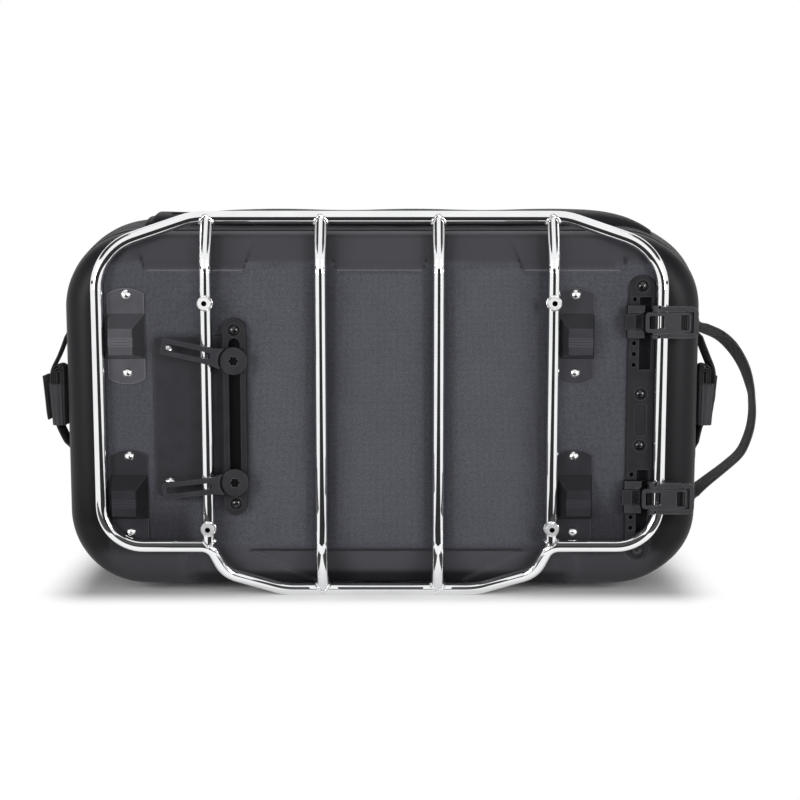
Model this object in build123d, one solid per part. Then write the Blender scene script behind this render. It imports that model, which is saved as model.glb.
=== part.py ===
from build123d import *
import math
import os

# Driving dimensions in millimetres.
# X runs to the right, Y from the viewer into the bag, Z up with the bag standing on its long side.
# The origin is the centre of the four boss faces.

# Rack tube and bosses
TUBE_D = 12.7
BAR_Y = 12.0
BOSS_PITCH_X = 350.0
BOSS_PITCH_Z = 230.0
INNER_BAR_SHARE = 0.34
BOSS_D = 14.0
BOSS_HOLE_D = 5.5
BOSS_HOLE_DEPTH = 16.0
RAIL_HALF_W = 284.0
RAIL_TOP_Z = 200.5
RAIL_BOTTOM_Z = -184.0
RAIL_SET_BACK = 20.0
TOP_RUN_PAST_BAR = 14.0
DIAGONAL_DROP = 33.0
LOWER_RUN_Z = -134.0
S_BEND_RUN = 14.0
S_BEND_DROP = 30.0
BOTTOM_RUN_HALF = 100.0
TOP_BEND_R = 60.0
SHOULDER_R = 54.0
LOWER_CORNER_R = 42.0
S_TOP_R = 14.0
S_FOOT_R = 30.0
BOTTOM_BEND_R = 60.0
BAR_TOP_KNEE = 41.5
BAR_BOTTOM_KNEE = 39.0
BAR_KNEE_R = 60.0
COPE_RELIEF = 1.5

# Bag outline and depth
RACK_GAP = 1.3
TUBE_MARGIN = 0.4
SEAT_W = 7.0
SEAT_BED = 0.4
SEAT_L = 34.0
SEAT_MARGIN_Z = 6.0
SIDE_OVERHANG = 38.2
TOP_INSET = 14.0
BOTTOM_INSET = 4.0
BAG_CORNER_R = 78.0
BASE_DEPTH = 36.0
BASE_EDGE_R = 28.0
BASE_WALL = 5.0
SCOOP_DEPTH = 19.0
SCOOP_TOP_RUN = 38.5
SCOOP_TOP_HALF = 236.0
SCOOP_BOTTOM_DEPTH = 25.0
SCOOP_BOTTOM_RUN = 47.0
SCOOP_BOTTOM_HALF = 190.0
SCOOP_FLARE = 20.0
PAD_RISE = 3.6
PAD_BAR_GAP = 14.5
PAD_MARGIN_Z = 6.0
PAD_CORNER_R = 12.0
PIPING_W = 3.2
PIPING_PROUD = 2.2
WALL_DEPTH = 172.0
WALL_T = 5.0
WALL_BULGE = 12.0
SEWN_GAP = 0.1
ZIP_W = 6.0
ZIP_PROUD = 0.8
LID_GAP = 0.3
LID_DEPTH = 44.0
LID_EDGE_R = 30.0
LID_WALL = 4.0
STIFFENER_T = 2.0
POCKET_LEFT = -262.0
POCKET_RIGHT = 268.0
POCKET_RISE = 23.0
POCKET_FRONT = 22.0
POCKET_DEPTH = 120.0
POCKET_CORNER_R = 22.0
POCKET_EDGE_R = 8.0
HINGE_TAPE_W = 12.0
HINGE_TAPE_T = 1.2

# Rivets
RIVET_SHANK_D = 4.8
RIVET_HEAD_D = 10.4
RIVET_HEAD_H = 2.7
RIVET_TAIL_D = 7.2
RIVET_TAIL_H = 1.2
WASHER_D = 13.0
WASHER_T = 1.2
RIVET_CLEAR = 0.05
RIVET_SINK = 1.2
RIVET_SINK_MARGIN = 1.2

# Locating feet
FOOT_W = 37.6
FOOT_H = 97.0
FOOT_T = 1.5
FOOT_END_RISE = 5.7
FOOT_PITCH_Z = 165.0
FOOT_CENTRE_Z = -1.5
FOOT_RAIL_GAP = 2.5
FOOT_BAR_OFFSET = 4.2
FOOT_BLOCK_H = 11.0
FOOT_BLOCK_ABOVE = 23.0
FOOT_BLOCK_BELOW = 23.0
FOOT_TOP_W = 24.5
FOOT_TOP_H = 26.4
FOOT_TOP_SIDE = 2.0
FOOT_TOP_FOOT = 5.0
FOOT_EDGE_R = 1.4
FOOT_GROOVE_W = 1.0
FOOT_GROOVE_D = 0.7
FOOT_RIVET_UP = 41.8
FOOT_RIVET_DOWN = 37.2

# Wear panel and slotted clamp bar
PANEL_FROM_RAIL = 55.0
PANEL_PAST_SLOT = 11.0
PANEL_TOP = 81.0
PANEL_BOTTOM = -84.0
PANEL_T = 1.5
PANEL_CORNER_R = 6.0
PANEL_RIVET_INSET_X = 14.0
PANEL_RIVET_INSET_Z = 14.5
SLOT_BAR_FROM_BAR = 28.0
SLOT_BAR_W = 24.0
SLOT_BAR_TOP = 99.5
SLOT_BAR_BOTTOM = -102.0
SLOT_BAR_T = 7.0
SLOT_BAR_EDGE = 0.9
SLOT_W = 11.0
SLOT_END_INSET = 20.5
NUT_CHANNEL_W = 17.0
NUT_CHANNEL_D = 3.5
SLOT_BAR_RIVET_INSET = 12.0

# Clamp bolt and arm
BOLT_UPPER_Z = 57.0
BOLT_LOWER_Z = -67.0
BOLT_SHANK_D = 6.0
BOLT_HEAD_D = 28.0
BOLT_HEAD_T = 4.5
BOLT_RECESS_R = 5.0
BOLT_RECESS_D = 2.8
NUT_L = 20.0
NUT_T = 3.0
FIT = 0.05
SLIDE_CLEAR = 0.3
ARM_SEAT_GAP = 0.15
ARM_TONGUE_T = 3.0
ARM_T = 4.5
ARM_BAR_CLEAR = 0.65
ARM_REACH = 73.5
ARM_W = 17.5
ARM_ROOT_W = 21.0
ARM_ROOT_L = 21.5
ARM_SLOT_W = 6.5
ARM_SLOT_L = 46.0
ARM_TIP_WALL = 4.0
ARM_EDGE = 0.8
ARM_HEAD_CLEAR = 1.0
ARM_UPPER_ANGLE = 12.6
ARM_LOWER_ANGLE = -6.4

# Index rail
INDEX_W = 26.5
INDEX_T = 6.0
INDEX_PROUD = 3.15
INDEX_HALF_L = 146.5
INDEX_CENTRE_Z = -4.2
INDEX_TUBE_OVERLAP = 0.35
INDEX_EDGE = 0.7
INDEX_HOLE_D = 4.5
INDEX_HOLE_INSET = 5.5
INDEX_PITCH = 11.1
INDEX_COUNT = 7
INDEX_FIRST = 56.2
INDEX_WINDOW_W = 12.0
INDEX_WINDOW_RIGHT = 4.0
INDEX_WINDOW_L = 73.5
INDEX_WINDOW_OFFSET = 88.2
INDEX_CHANNEL_W = 16.0
INDEX_LIP = 2.8
INDEX_RECESS_W = 11.0
INDEX_RECESS_L = 32.0
INDEX_RECESS_D = 1.2
INDEX_RIVETS = (135.8, 26.4)
RECESS_MARGIN = 0.3
INDEX_TAIL_L = 21.0

# Tube latch
LATCH_EDGE_R = 0.8
LATCH_UPPER_Z = 96.3
LATCH_LOWER_Z = -82.6
CARRIAGE_HALF_H = 16.5
CARRIAGE_TUBE_GAP = 1.4
CARRIAGE_FLOOR_T = 2.8
CARRIAGE_BLOCK_H = 4.9
CARRIAGE_BLOCK_W = 14.7
CARRIAGE_OVERHANG = 2.5
T_FOOT_HALF_H = 12.0
T_FOOT_T = 2.6
CATCH_HALF_H = 7.7
CATCH_T = 4.0
CATCH_TAB = 5.0
CATCH_TAB_RISE = 1.6
CATCH_PIVOT_R = 1.4
CATCH_TRUNNION_L = 3.0
CATCH_PEG_D = 3.8
EAR_T = 3.0
EAR_R = 3.6
GATE_PIN_R = 1.5
LEVER_PIN_R = 1.6
TUBE_CLEAR = 0.85
HINGE_SIDE = 1.65
HINGE_FRONT = 1.85
GATE_T = 4.8
GATE_EYE_R = 3.3
GATE_INNER = 10.6
GATE_OUTER = 16.0
GATE_JAW_W = 8.5
GATE_JAW_BACK = 4.0
GATE_END = 34.5
GATE_BOW = 4.8
GATE_CORNER_R = 7.0
LEVER_PIN_X = 22.5
LEVER_PIN_FRONT = 1.4
LEVER_T = 4.0
LEVER_HALF_H = 10.2
LEVER_LEFT = 10.6
LEVER_BAR = 3.8
LEVER_WINDOW_L = 15.0
LEVER_WINDOW_HALF = 6.5
LEVER_RIGHT = 26.5
LEVER_SLOT_L = 8.0
LEVER_SLOT_HALF = 7.6
LEVER_LUG_R = 3.0
LEVER_SEAT = 0.5

# Webbing
WEB_W = 25.0
WEB_T = 2.4
WEB_GAP = 0.3
HANDLE_T = 3.6
HANDLE_Y = 128.0
HANDLE_TOP_Z = 86.0
HANDLE_BOTTOM_Z = -99.0
HANDLE_REACH = 70.0
ANCHOR_W = 32.0
ANCHOR_H = 30.0
ANCHOR_T = 2.0
STRAP_Y = 62.0
STRAP_REACH = 23.0
STRAP_TOP_Z = 78.0
STRAP_BOTTOM_Z = -38.0
STRAP_END_L = 14.0
BUNDLE_W = 29.0
BUNDLE_H = 60.0
BUNDLE_T = 20.0
BUNDLE_Z = 15.0
BUNDLE_R = 6.0
KEEPER_H = 42.0
KEEPER_Z = 7.0
KEEPER_T = 1.4

# Zip sliders
SLIDER_W = 9.0
SLIDER_H = 13.0
SLIDER_T = 4.0
SLIDER_Z = 30.0
PULL_W = 8.0
PULL_L = 26.0
PULL_T = 2.0
PULL_EYE_R = 2.0
PULL_PIN_R = 0.9

# Derived places
TUBE_R = TUBE_D / 2
OUTER_BAR_X = BOSS_PITCH_X / 2
INNER_BAR_X = OUTER_BAR_X * INNER_BAR_SHARE
RUN_Y = BAR_Y + RAIL_SET_BACK
FACE_Y = BAR_Y + TUBE_R + RACK_GAP
FLOOR_Z = RAIL_BOTTOM_Z - TUBE_R
BAG_HALF_W = RAIL_HALF_W + SIDE_OVERHANG
BAG_TOP_Z = RAIL_TOP_Z - TOP_INSET
BAG_BOTTOM_Z = RAIL_BOTTOM_Z + BOTTOM_INSET
BAG_H = BAG_TOP_Z - BAG_BOTTOM_Z
BAG_CENTRE_Z = (BAG_TOP_Z + BAG_BOTTOM_Z) / 2
SCOOP_TOP_Z = BAG_TOP_Z - SCOOP_TOP_RUN
SCOOP_BOTTOM_Z = BAG_BOTTOM_Z + SCOOP_BOTTOM_RUN
BASE_BACK = FACE_Y + BASE_DEPTH
WALL_FRONT = BASE_BACK + PIPING_W
WALL_BACK = WALL_FRONT + WALL_DEPTH
LID_FRONT = WALL_BACK + ZIP_W + LID_GAP
LID_BACK = LID_FRONT + LID_DEPTH
FLOOR_INSIDE = FACE_Y + BASE_WALL
STIFFENER_BACK = FLOOR_INSIDE + STIFFENER_T
SLOT_BAR_X = -OUTER_BAR_X + SLOT_BAR_FROM_BAR
SLOT_BAR_FRONT = FACE_Y - SLOT_BAR_T
PANEL_LEFT = -RAIL_HALF_W + PANEL_FROM_RAIL
PANEL_RIGHT = SLOT_BAR_X + PANEL_PAST_SLOT
INDEX_FRONT = FACE_Y - INDEX_PROUD
INDEX_BACK = INDEX_FRONT + INDEX_T
INDEX_RIGHT = RAIL_HALF_W - TUBE_R + INDEX_TUBE_OVERLAP
INDEX_LEFT = INDEX_RIGHT - INDEX_W
INDEX_HOLE_X = INDEX_LEFT + INDEX_HOLE_INSET
INDEX_WINDOW_X = INDEX_RIGHT - INDEX_WINDOW_RIGHT - INDEX_WINDOW_W / 2
RIVET_HOLE_R = RIVET_SHANK_D / 2 + RIVET_CLEAR


def slab(shape, y_front, y_back):
    """A sketch drawn in X and Z, thickened from y_front back to y_back."""
    return extrude(Plane.XZ.offset(-y_back) * shape, y_back - y_front)


def prism(shape, z_low, z_high):
    """A sketch drawn in X and Y, thickened from z_low up to z_high."""
    return extrude(Plane.XY.offset(z_low) * shape, z_high - z_low)


def rect(x_low, x_high, y_low, y_high):
    """A rectangle given by its limits."""
    centre = Pos((x_low + x_high) / 2, (y_low + y_high) / 2)
    return centre * Rectangle(x_high - x_low, y_high - y_low)


def round_rect(x_low, x_high, y_low, y_high, radius):
    """A rectangle with rounded corners, given by its limits."""
    centre = Pos((x_low + x_high) / 2, (y_low + y_high) / 2)
    return centre * RectangleRounded(x_high - x_low, y_high - y_low, radius)


def disc(x, z, radius):
    return Pos(x, z) * Circle(radius)


def largest(shape):
    """The main solid of a cut, without the crumbs it may leave."""
    return shape.solids().sort_by(SortBy.VOLUME)[-1]


def bent_tube(points, radii, diameter):
    """A round bar swept along straight runs joined by tangent arcs."""
    path = FilletPolyline(*points, radius=radii)
    section = Plane(origin=path @ 0, z_dir=path % 0) * Circle(diameter / 2)
    return sweep(section, path=path)


def mirror_x(shape):
    return mirror(shape, about=Plane.YZ)


# Rack


def make_perimeter_rail(grow):
    """The bent tube, or the room it needs: top and bottom runs stand behind the bars."""
    s_top_x = OUTER_BAR_X - 1.0
    s_foot_x = s_top_x - S_BEND_RUN
    points = [
        (0, RUN_Y, RAIL_TOP_Z),
        (OUTER_BAR_X + TOP_RUN_PAST_BAR, RUN_Y, RAIL_TOP_Z),
        (RAIL_HALF_W, BAR_Y, RAIL_TOP_Z - DIAGONAL_DROP),
        (RAIL_HALF_W, BAR_Y, LOWER_RUN_Z),
        (s_top_x, BAR_Y, LOWER_RUN_Z),
        (s_foot_x, BAR_Y + RAIL_SET_BACK / 2, LOWER_RUN_Z - S_BEND_DROP),
        (BOTTOM_RUN_HALF, RUN_Y, RAIL_BOTTOM_Z),
        (0, RUN_Y, RAIL_BOTTOM_Z),
    ]
    radii = [TOP_BEND_R, SHOULDER_R, LOWER_CORNER_R, S_TOP_R, S_FOOT_R, BOTTOM_BEND_R]
    half = bent_tube(points, radii, TUBE_D + 2 * grow)
    return half + mirror_x(half)


def make_cross_bar(x, rail):
    """A cross tube with both ends coped on the rail."""
    knee_top = RAIL_TOP_Z - BAR_TOP_KNEE
    if abs(x) > (OUTER_BAR_X + INNER_BAR_X) / 2:
        points = [
            (x, RUN_Y - COPE_RELIEF / 2, RAIL_TOP_Z - COPE_RELIEF),
            (x, BAR_Y, knee_top),
            (x, BAR_Y, LOWER_RUN_Z),
        ]
        bar = bent_tube(points, [BAR_KNEE_R], TUBE_D)
        for level in (-1, 1):
            bar -= boss_hole(x, level * BOSS_PITCH_Z / 2)
    else:
        points = [
            (x, RUN_Y - COPE_RELIEF / 2, RAIL_TOP_Z - COPE_RELIEF),
            (x, BAR_Y, knee_top),
            (x, BAR_Y, RAIL_BOTTOM_Z + BAR_BOTTOM_KNEE),
            (x, RUN_Y - COPE_RELIEF / 2, RAIL_BOTTOM_Z + COPE_RELIEF),
        ]
        bar = bent_tube(points, [BAR_KNEE_R, BAR_KNEE_R], TUBE_D)
    return largest(bar - rail)


def boss_hole(x, z):
    return slab(disc(x, z, BOSS_HOLE_D / 2), -1.0, BOSS_HOLE_DEPTH)


def make_mounting_bosses(outer_bars):
    """Four tapped bosses saddled on the outer bars."""
    bosses = []
    for bar, side in outer_bars:
        for level in (-1, 1):
            x = side * OUTER_BAR_X
            z = level * BOSS_PITCH_Z / 2
            boss = slab(disc(x, z, BOSS_D / 2), 0, BAR_Y - TUBE_R / 2)
            boss = chamfer(boss.faces().sort_by(Axis.Y)[0].edges(), 0.8)
            bosses.append(largest(boss - bar - boss_hole(x, z)))
    return Compound(children=bosses)


# Bag


def bag_outline(grow):
    """The bag's rounded outline, grown or shrunk all round."""
    outline = RectangleRounded(2 * (BAG_HALF_W + grow), BAG_H + 2 * grow, BAG_CORNER_R + grow)
    return Pos(0, BAG_CENTRE_Z) * outline


def scoop(z_start, up, run, depth, half_w, inset):
    """What the long edge's scoop takes away: a flared slab in front of a slope."""
    length = math.hypot(run, depth)
    normal = Vector(0, -run / length, up * depth / length)
    start = Vector(0, FACE_Y, z_start) - normal * inset
    plane = Plane(origin=start, x_dir=(up, 0, 0), z_dir=normal)
    reach = 3 * length
    shape = Polygon(
        (-half_w, 0), (half_w, 0), (half_w + SCOOP_FLARE, reach), (-half_w - SCOOP_FLARE, reach),
        align=None,
    )
    return extrude(plane * shape, reach)


def base_blank(inset):
    """The base's outer form, or the hollow behind a wall of that thickness."""
    blank = slab(bag_outline(-inset), FACE_Y + inset, BASE_BACK)
    front = blank.faces().sort_by(Axis.Y)[0]
    blank = fillet(front.edges(), BASE_EDGE_R - inset)
    blank -= scoop(SCOOP_TOP_Z, 1, SCOOP_TOP_RUN, SCOOP_DEPTH, SCOOP_TOP_HALF, inset)
    blank -= scoop(SCOOP_BOTTOM_Z, -1, SCOOP_BOTTOM_RUN, SCOOP_BOTTOM_DEPTH, SCOOP_BOTTOM_HALF, inset)
    return blank


def pad(x_low, x_high):
    """A raised panel between two bars, with sloping sides."""
    shape = round_rect(
        x_low, x_high, SCOOP_BOTTOM_Z + PAD_MARGIN_Z, SCOOP_TOP_Z - PAD_MARGIN_Z, PAD_CORNER_R
    )
    return extrude(Plane.XZ.offset(-FACE_Y) * shape, PAD_RISE, taper=50)


def bar_seats(x):
    """Two low ribs behind a bar, which the bar beds into."""
    seats = Part()
    top = SCOOP_TOP_Z - SEAT_MARGIN_Z
    bottom = SCOOP_BOTTOM_Z + SEAT_MARGIN_Z
    for low in (top - SEAT_L, bottom):
        shape = rect(x - SEAT_W / 2, x + SEAT_W / 2, low, low + SEAT_L)
        seats += slab(shape, FACE_Y - RACK_GAP - SEAT_BED, FACE_Y)
    return seats


def make_base_tray(rivet_places, bars):
    tray = base_blank(0) - base_blank(BASE_WALL)
    for x, bar in bars:
        tray += bar_seats(x) - bar
    inner = INNER_BAR_X - PAD_BAR_GAP
    tray += pad(-inner, inner)
    tray += pad(INNER_BAR_X + PAD_BAR_GAP, OUTER_BAR_X - PAD_BAR_GAP)
    tray += pad(SLOT_BAR_X + SLOT_BAR_W / 2 + 3.0, -INNER_BAR_X - PAD_BAR_GAP)
    tray -= slab(panel_shape(0), FACE_Y, FACE_Y + PANEL_T)
    tray -= slab(index_shape(RECESS_MARGIN), FACE_Y, INDEX_BACK)
    for x, z in rivet_places:
        tray -= slab(disc(x, z, RIVET_HOLE_R), FACE_Y - PAD_RISE, FLOOR_INSIDE + 1.0)
    return tray


def make_piping():
    """The bead that closes the seam between base and wall."""
    return slab(bag_outline(PIPING_PROUD) - bag_outline(-WALL_T), BASE_BACK, WALL_FRONT)


def wall_section(y, grow):
    return Plane.XZ.offset(-y) * bag_outline(grow)


def wall_blank(inset):
    """The soft wall, fullest half way back."""
    middle = (WALL_FRONT + WALL_BACK) / 2
    sections = [
        wall_section(WALL_FRONT, -inset),
        wall_section(middle, WALL_BULGE - inset),
        wall_section(WALL_BACK, -inset),
    ]
    return loft(sections)


def wall_side(y):
    """How far the wall stands out of the outline at a depth."""
    half = WALL_DEPTH / 2
    share = (y - WALL_FRONT - half) / half
    return WALL_BULGE * (1 - share * share)


def make_body_wall():
    wall = wall_blank(0) - wall_blank(WALL_T)
    below = rect(-2 * BAG_HALF_W, 2 * BAG_HALF_W, FLOOR_Z - BAG_H, FLOOR_Z)
    return wall - slab(below, WALL_FRONT - 1.0, WALL_BACK + 1.0)


def make_side_pocket():
    """The flat pocket sewn on the upper long side."""
    top = BAG_TOP_Z + POCKET_RISE
    shape = round_rect(
        POCKET_LEFT, POCKET_RIGHT, top - 3 * POCKET_CORNER_R, top, POCKET_CORNER_R
    )
    front = WALL_FRONT + POCKET_FRONT
    pocket = slab(shape, front, front + POCKET_DEPTH)
    crown = pocket.edges().filter_by(lambda e: e.center().Z > top - POCKET_CORNER_R)
    crown = [e for e in crown if e.bounding_box().size.Y < 1.0]
    pocket = fillet(crown, POCKET_EDGE_R)
    return largest(pocket - wall_blank(-SEWN_GAP))


def make_zip_tape():
    return slab(bag_outline(ZIP_PROUD) - bag_outline(-LID_WALL), WALL_BACK, WALL_BACK + ZIP_W)


def make_hinge_tape():
    """The woven hinge along the top long side, on the wall's last stretch."""
    half = BAG_HALF_W - BAG_CORNER_R
    rise = wall_side(WALL_BACK - HINGE_TAPE_W) + HINGE_TAPE_T
    shape = rect(-half, half, BAG_TOP_Z - WALL_T / 2, BAG_TOP_Z + rise)
    tape = slab(shape, WALL_BACK - HINGE_TAPE_W, WALL_BACK)
    return largest(tape - wall_blank(-SEWN_GAP))


def lid_blank(inset):
    blank = slab(bag_outline(-inset), LID_FRONT, LID_BACK - inset)
    back = blank.faces().sort_by(Axis.Y)[-1]
    return fillet(back.edges(), LID_EDGE_R - inset)


def make_lid():
    return lid_blank(0) - lid_blank(LID_WALL)


def make_base_stiffener(rivet_places):
    shape = round_rect(
        -BAG_HALF_W + BASE_EDGE_R + BASE_WALL, BAG_HALF_W - BASE_EDGE_R - BASE_WALL,
        SCOOP_BOTTOM_Z + PAD_MARGIN_Z, SCOOP_TOP_Z - PAD_MARGIN_Z, BAG_CORNER_R / 2,
    )
    board = slab(shape, FLOOR_INSIDE, STIFFENER_BACK)
    for x, z in rivet_places:
        board -= slab(disc(x, z, RIVET_HOLE_R), FLOOR_INSIDE, STIFFENER_BACK)
    return board


# Rivets


def make_rivet(x, z, seat_y):
    """A domed rivet through the base, upset behind a washer."""
    head_r = RIVET_HEAD_D / 2
    shank_r = RIVET_SHANK_D / 2
    ball = (head_r**2 + RIVET_HEAD_H**2) / (2 * RIVET_HEAD_H)
    half = math.asin(head_r / ball) / 2
    middle = (ball * math.sin(half), ball * (1 - math.cos(half)) - RIVET_HEAD_H)
    grip = STIFFENER_BACK + WASHER_T - seat_y
    profile = ThreePointArc((0, -RIVET_HEAD_H), middle, (head_r, 0)) + Polyline(
        (head_r, 0), (shank_r, 0), (shank_r, grip), (RIVET_TAIL_D / 2, grip),
        (RIVET_TAIL_D / 2, grip + RIVET_TAIL_H), (0, grip + RIVET_TAIL_H), (0, -RIVET_HEAD_H),
    )
    return Pos(x, seat_y, z) * revolve(make_face(profile), Axis.Y)


def make_washers(places):
    ring = Circle(WASHER_D / 2) - Circle(RIVET_HOLE_R)
    washers = [
        slab(Pos(x, z) * ring, STIFFENER_BACK, STIFFENER_BACK + WASHER_T).solid() for x, z in places
    ]
    return Compound(children=washers)


def rivet_group(places, seat):
    """Rivets at places in X and Z; seat gives the depth under each head from its Z."""
    return Compound(children=[make_rivet(x, z, seat(z)).solid() for x, z in places])


# Feet


def foot_centres():
    """Name, X, Z and hand of each foot; the hand is the side of its steep face."""
    left = -RAIL_HALF_W + TUBE_R + FOOT_RAIL_GAP + FOOT_W / 2
    right = OUTER_BAR_X + FOOT_BAR_OFFSET + FOOT_W / 2
    places = []
    for side, x, hand in (("left", left, -1), ("right", right, 1)):
        for level, sign in (("upper", 1), ("lower", -1)):
            places.append((f"foot_{level}_{side}", x, FOOT_CENTRE_Z + sign * FOOT_PITCH_Z / 2, hand))
    return places


def foot_rivet_places():
    places = []
    for _, x, z, _ in foot_centres():
        places += [(x, z + FOOT_RIVET_UP), (x, z - FOOT_RIVET_DOWN)]
    return places


def make_foot(x, z, hand, tube_room):
    """A riveted plate with arched ends and a sloped locating block."""
    half_w = FOOT_W / 2
    side_z = FOOT_H / 2 - FOOT_END_RISE
    edge = Polyline((-half_w, side_z), (-half_w, -side_z))
    edge += ThreePointArc((-half_w, -side_z), (0, -FOOT_H / 2), (half_w, -side_z))
    edge += Polyline((half_w, -side_z), (half_w, side_z))
    edge += ThreePointArc((half_w, side_z), (0, FOOT_H / 2), (-half_w, side_z))
    plate_front = FACE_Y - FOOT_T
    foot = slab(make_face(edge), plate_front, FACE_Y)
    top_left = half_w - FOOT_TOP_SIDE - FOOT_TOP_W
    top_low = -FOOT_BLOCK_BELOW + FOOT_TOP_FOOT
    base = rect(-half_w, half_w, -FOOT_BLOCK_BELOW, FOOT_BLOCK_ABOVE)
    top = rect(top_left, top_left + FOOT_TOP_W, top_low, top_low + FOOT_TOP_H)
    front = plate_front - FOOT_BLOCK_H
    block = loft(
        [Plane.XZ.offset(-plate_front) * base, Plane.XZ.offset(-front) * top], ruled=True
    )
    rim = block.edges().filter_by(lambda edge: edge.center().Y < plate_front - FOOT_T)
    block = fillet(rim, FOOT_EDGE_R)
    for step in (0.40, 0.52, 0.64):
        level = top_low + FOOT_TOP_H * (1 - step)
        groove = rect(-FOOT_W, FOOT_W, level - FOOT_GROOVE_W / 2, level + FOOT_GROOVE_W / 2)
        block -= slab(groove, front - 1.0, front + FOOT_GROOVE_D)
    foot += block
    if hand < 0:
        foot = mirror_x(foot)
    foot = Pos(x, 0, z) * foot
    for up in (FOOT_RIVET_UP, -FOOT_RIVET_DOWN):
        foot -= slab(disc(x, z + up, RIVET_HOLE_R), plate_front, FACE_Y)
    return foot - tube_room


# Clamp on the left


def panel_shape(grow):
    return round_rect(
        PANEL_LEFT - grow, PANEL_RIGHT + grow, PANEL_BOTTOM - grow, PANEL_TOP + grow, PANEL_CORNER_R
    )


def panel_rivet_places():
    x = PANEL_LEFT + PANEL_RIVET_INSET_X
    return [(x, PANEL_TOP - PANEL_RIVET_INSET_Z), (x, PANEL_BOTTOM + PANEL_RIVET_INSET_Z)]


def slot_bar_rivet_places():
    return [
        (SLOT_BAR_X, SLOT_BAR_TOP - SLOT_BAR_RIVET_INSET),
        (SLOT_BAR_X, SLOT_BAR_BOTTOM + SLOT_BAR_RIVET_INSET),
    ]


def make_wear_panel():
    panel = slab(panel_shape(0), FACE_Y, FACE_Y + PANEL_T)
    for x, z in panel_rivet_places():
        panel -= slab(disc(x, z, RIVET_HOLE_R), FACE_Y, FACE_Y + PANEL_T)
    return panel


def make_slotted_bar():
    """A bar with a front slot and a wider channel behind it for the nuts."""
    half = SLOT_BAR_W / 2
    bar = slab(
        round_rect(SLOT_BAR_X - half, SLOT_BAR_X + half, SLOT_BAR_BOTTOM, SLOT_BAR_TOP, half - 0.01),
        SLOT_BAR_FRONT, FACE_Y,
    )
    low = SLOT_BAR_BOTTOM + SLOT_END_INSET
    high = SLOT_BAR_TOP - SLOT_END_INSET
    slot = round_rect(
        SLOT_BAR_X - SLOT_W / 2, SLOT_BAR_X + SLOT_W / 2, low, high, SLOT_W / 2 - 0.01
    )
    channel = rect(SLOT_BAR_X - NUT_CHANNEL_W / 2, SLOT_BAR_X + NUT_CHANNEL_W / 2, low, high)
    bar -= slab(slot, SLOT_BAR_FRONT, FACE_Y)
    bar = chamfer(bar.faces().sort_by(Axis.Y)[0].edges(), SLOT_BAR_EDGE)
    bar -= slab(channel, FACE_Y - NUT_CHANNEL_D, FACE_Y)
    sink_r = RIVET_HEAD_D / 2 + RIVET_SINK_MARGIN
    for x, z in slot_bar_rivet_places():
        bar -= slab(disc(x, z, RIVET_HOLE_R), SLOT_BAR_FRONT, FACE_Y)
        bar -= slab(disc(x, z, sink_r), SLOT_BAR_FRONT, SLOT_BAR_FRONT + RIVET_SINK)
    return bar


def clamp_levels():
    """Depths of the clamp stack, from the slotted bar's face towards the viewer."""
    tongue_back = SLOT_BAR_FRONT - ARM_SEAT_GAP
    tongue_front = tongue_back - ARM_TONGUE_T
    head_back = tongue_front - ARM_SEAT_GAP
    arm_back = BAR_Y - TUBE_R - ARM_BAR_CLEAR
    return tongue_back, tongue_front, head_back, min(arm_back, tongue_front)


def make_arm(z, angle):
    """A cranked, slotted arm: its tongue lies under the bolt head, its blade over the bar."""
    tongue_back, tongue_front, _, arm_back = clamp_levels()
    arm_front = arm_back - ARM_T
    head_r = BOLT_HEAD_D / 2
    round_cut = Circle(head_r + ARM_HEAD_CLEAR)
    swing_room = Circle(SLOT_BAR_FROM_BAR - TUBE_R - ARM_BAR_CLEAR)
    tongue = (Circle(head_r - 2.0) + rect(-ARM_ROOT_L, 0, -ARM_W / 2, ARM_W / 2)) & swing_room
    blade = Polygon(
        (-ARM_REACH, -ARM_W / 2), (-ARM_ROOT_L, -ARM_W / 2), (-head_r + 2.0, -ARM_ROOT_W / 2),
        (-head_r + 2.0, ARM_ROOT_W / 2), (-ARM_ROOT_L, ARM_W / 2), (-ARM_REACH, ARM_W / 2), align=None,
    )
    tip = blade.vertices().sort_by(Axis.X)[:2]
    blade = fillet(tip, 3.0) - round_cut
    riser = (rect(-ARM_ROOT_L, -head_r + 2.0, -ARM_W / 2, ARM_W / 2) & swing_room) - round_cut
    slot_end = -ARM_REACH + ARM_TIP_WALL
    slot = round_rect(
        slot_end, slot_end + ARM_SLOT_L, -ARM_SLOT_W / 2, ARM_SLOT_W / 2, ARM_SLOT_W / 2 - 0.01
    )
    arm = slab(tongue, tongue_front, tongue_back)
    arm += slab(riser, arm_back - ARM_T / 2, tongue_back)
    blade = slab(blade - slot, arm_front, arm_back)
    arm += chamfer(blade.faces().sort_by(Axis.Y)[0].edges(), ARM_EDGE)
    arm -= slab(Circle(BOLT_SHANK_D / 2 + FIT), tongue_front, tongue_back)
    return Pos(SLOT_BAR_X, 0, z) * Rot(0, angle, 0) * arm


def make_clamp_bolt(z):
    """A low round head with a six-lobed recess."""
    _, _, head_back, _ = clamp_levels()
    head_front = head_back - BOLT_HEAD_T
    head = slab(disc(SLOT_BAR_X, z, BOLT_HEAD_D / 2), head_front, head_back)
    head = fillet(head.faces().sort_by(Axis.Y)[0].edges(), 1.2)
    lobe = BOLT_RECESS_R * 0.28
    recess = Circle(BOLT_RECESS_R * 0.76)
    for turn in range(6):
        recess += Rot(0, 0, 60 * turn) * (Pos(BOLT_RECESS_R - lobe, 0) * Circle(lobe))
    head -= slab(Pos(SLOT_BAR_X, z) * recess, head_front, head_front + BOLT_RECESS_D)
    shank_end = FACE_Y - SLIDE_CLEAR
    return head + slab(disc(SLOT_BAR_X, z, BOLT_SHANK_D / 2), head_back, shank_end)


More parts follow.
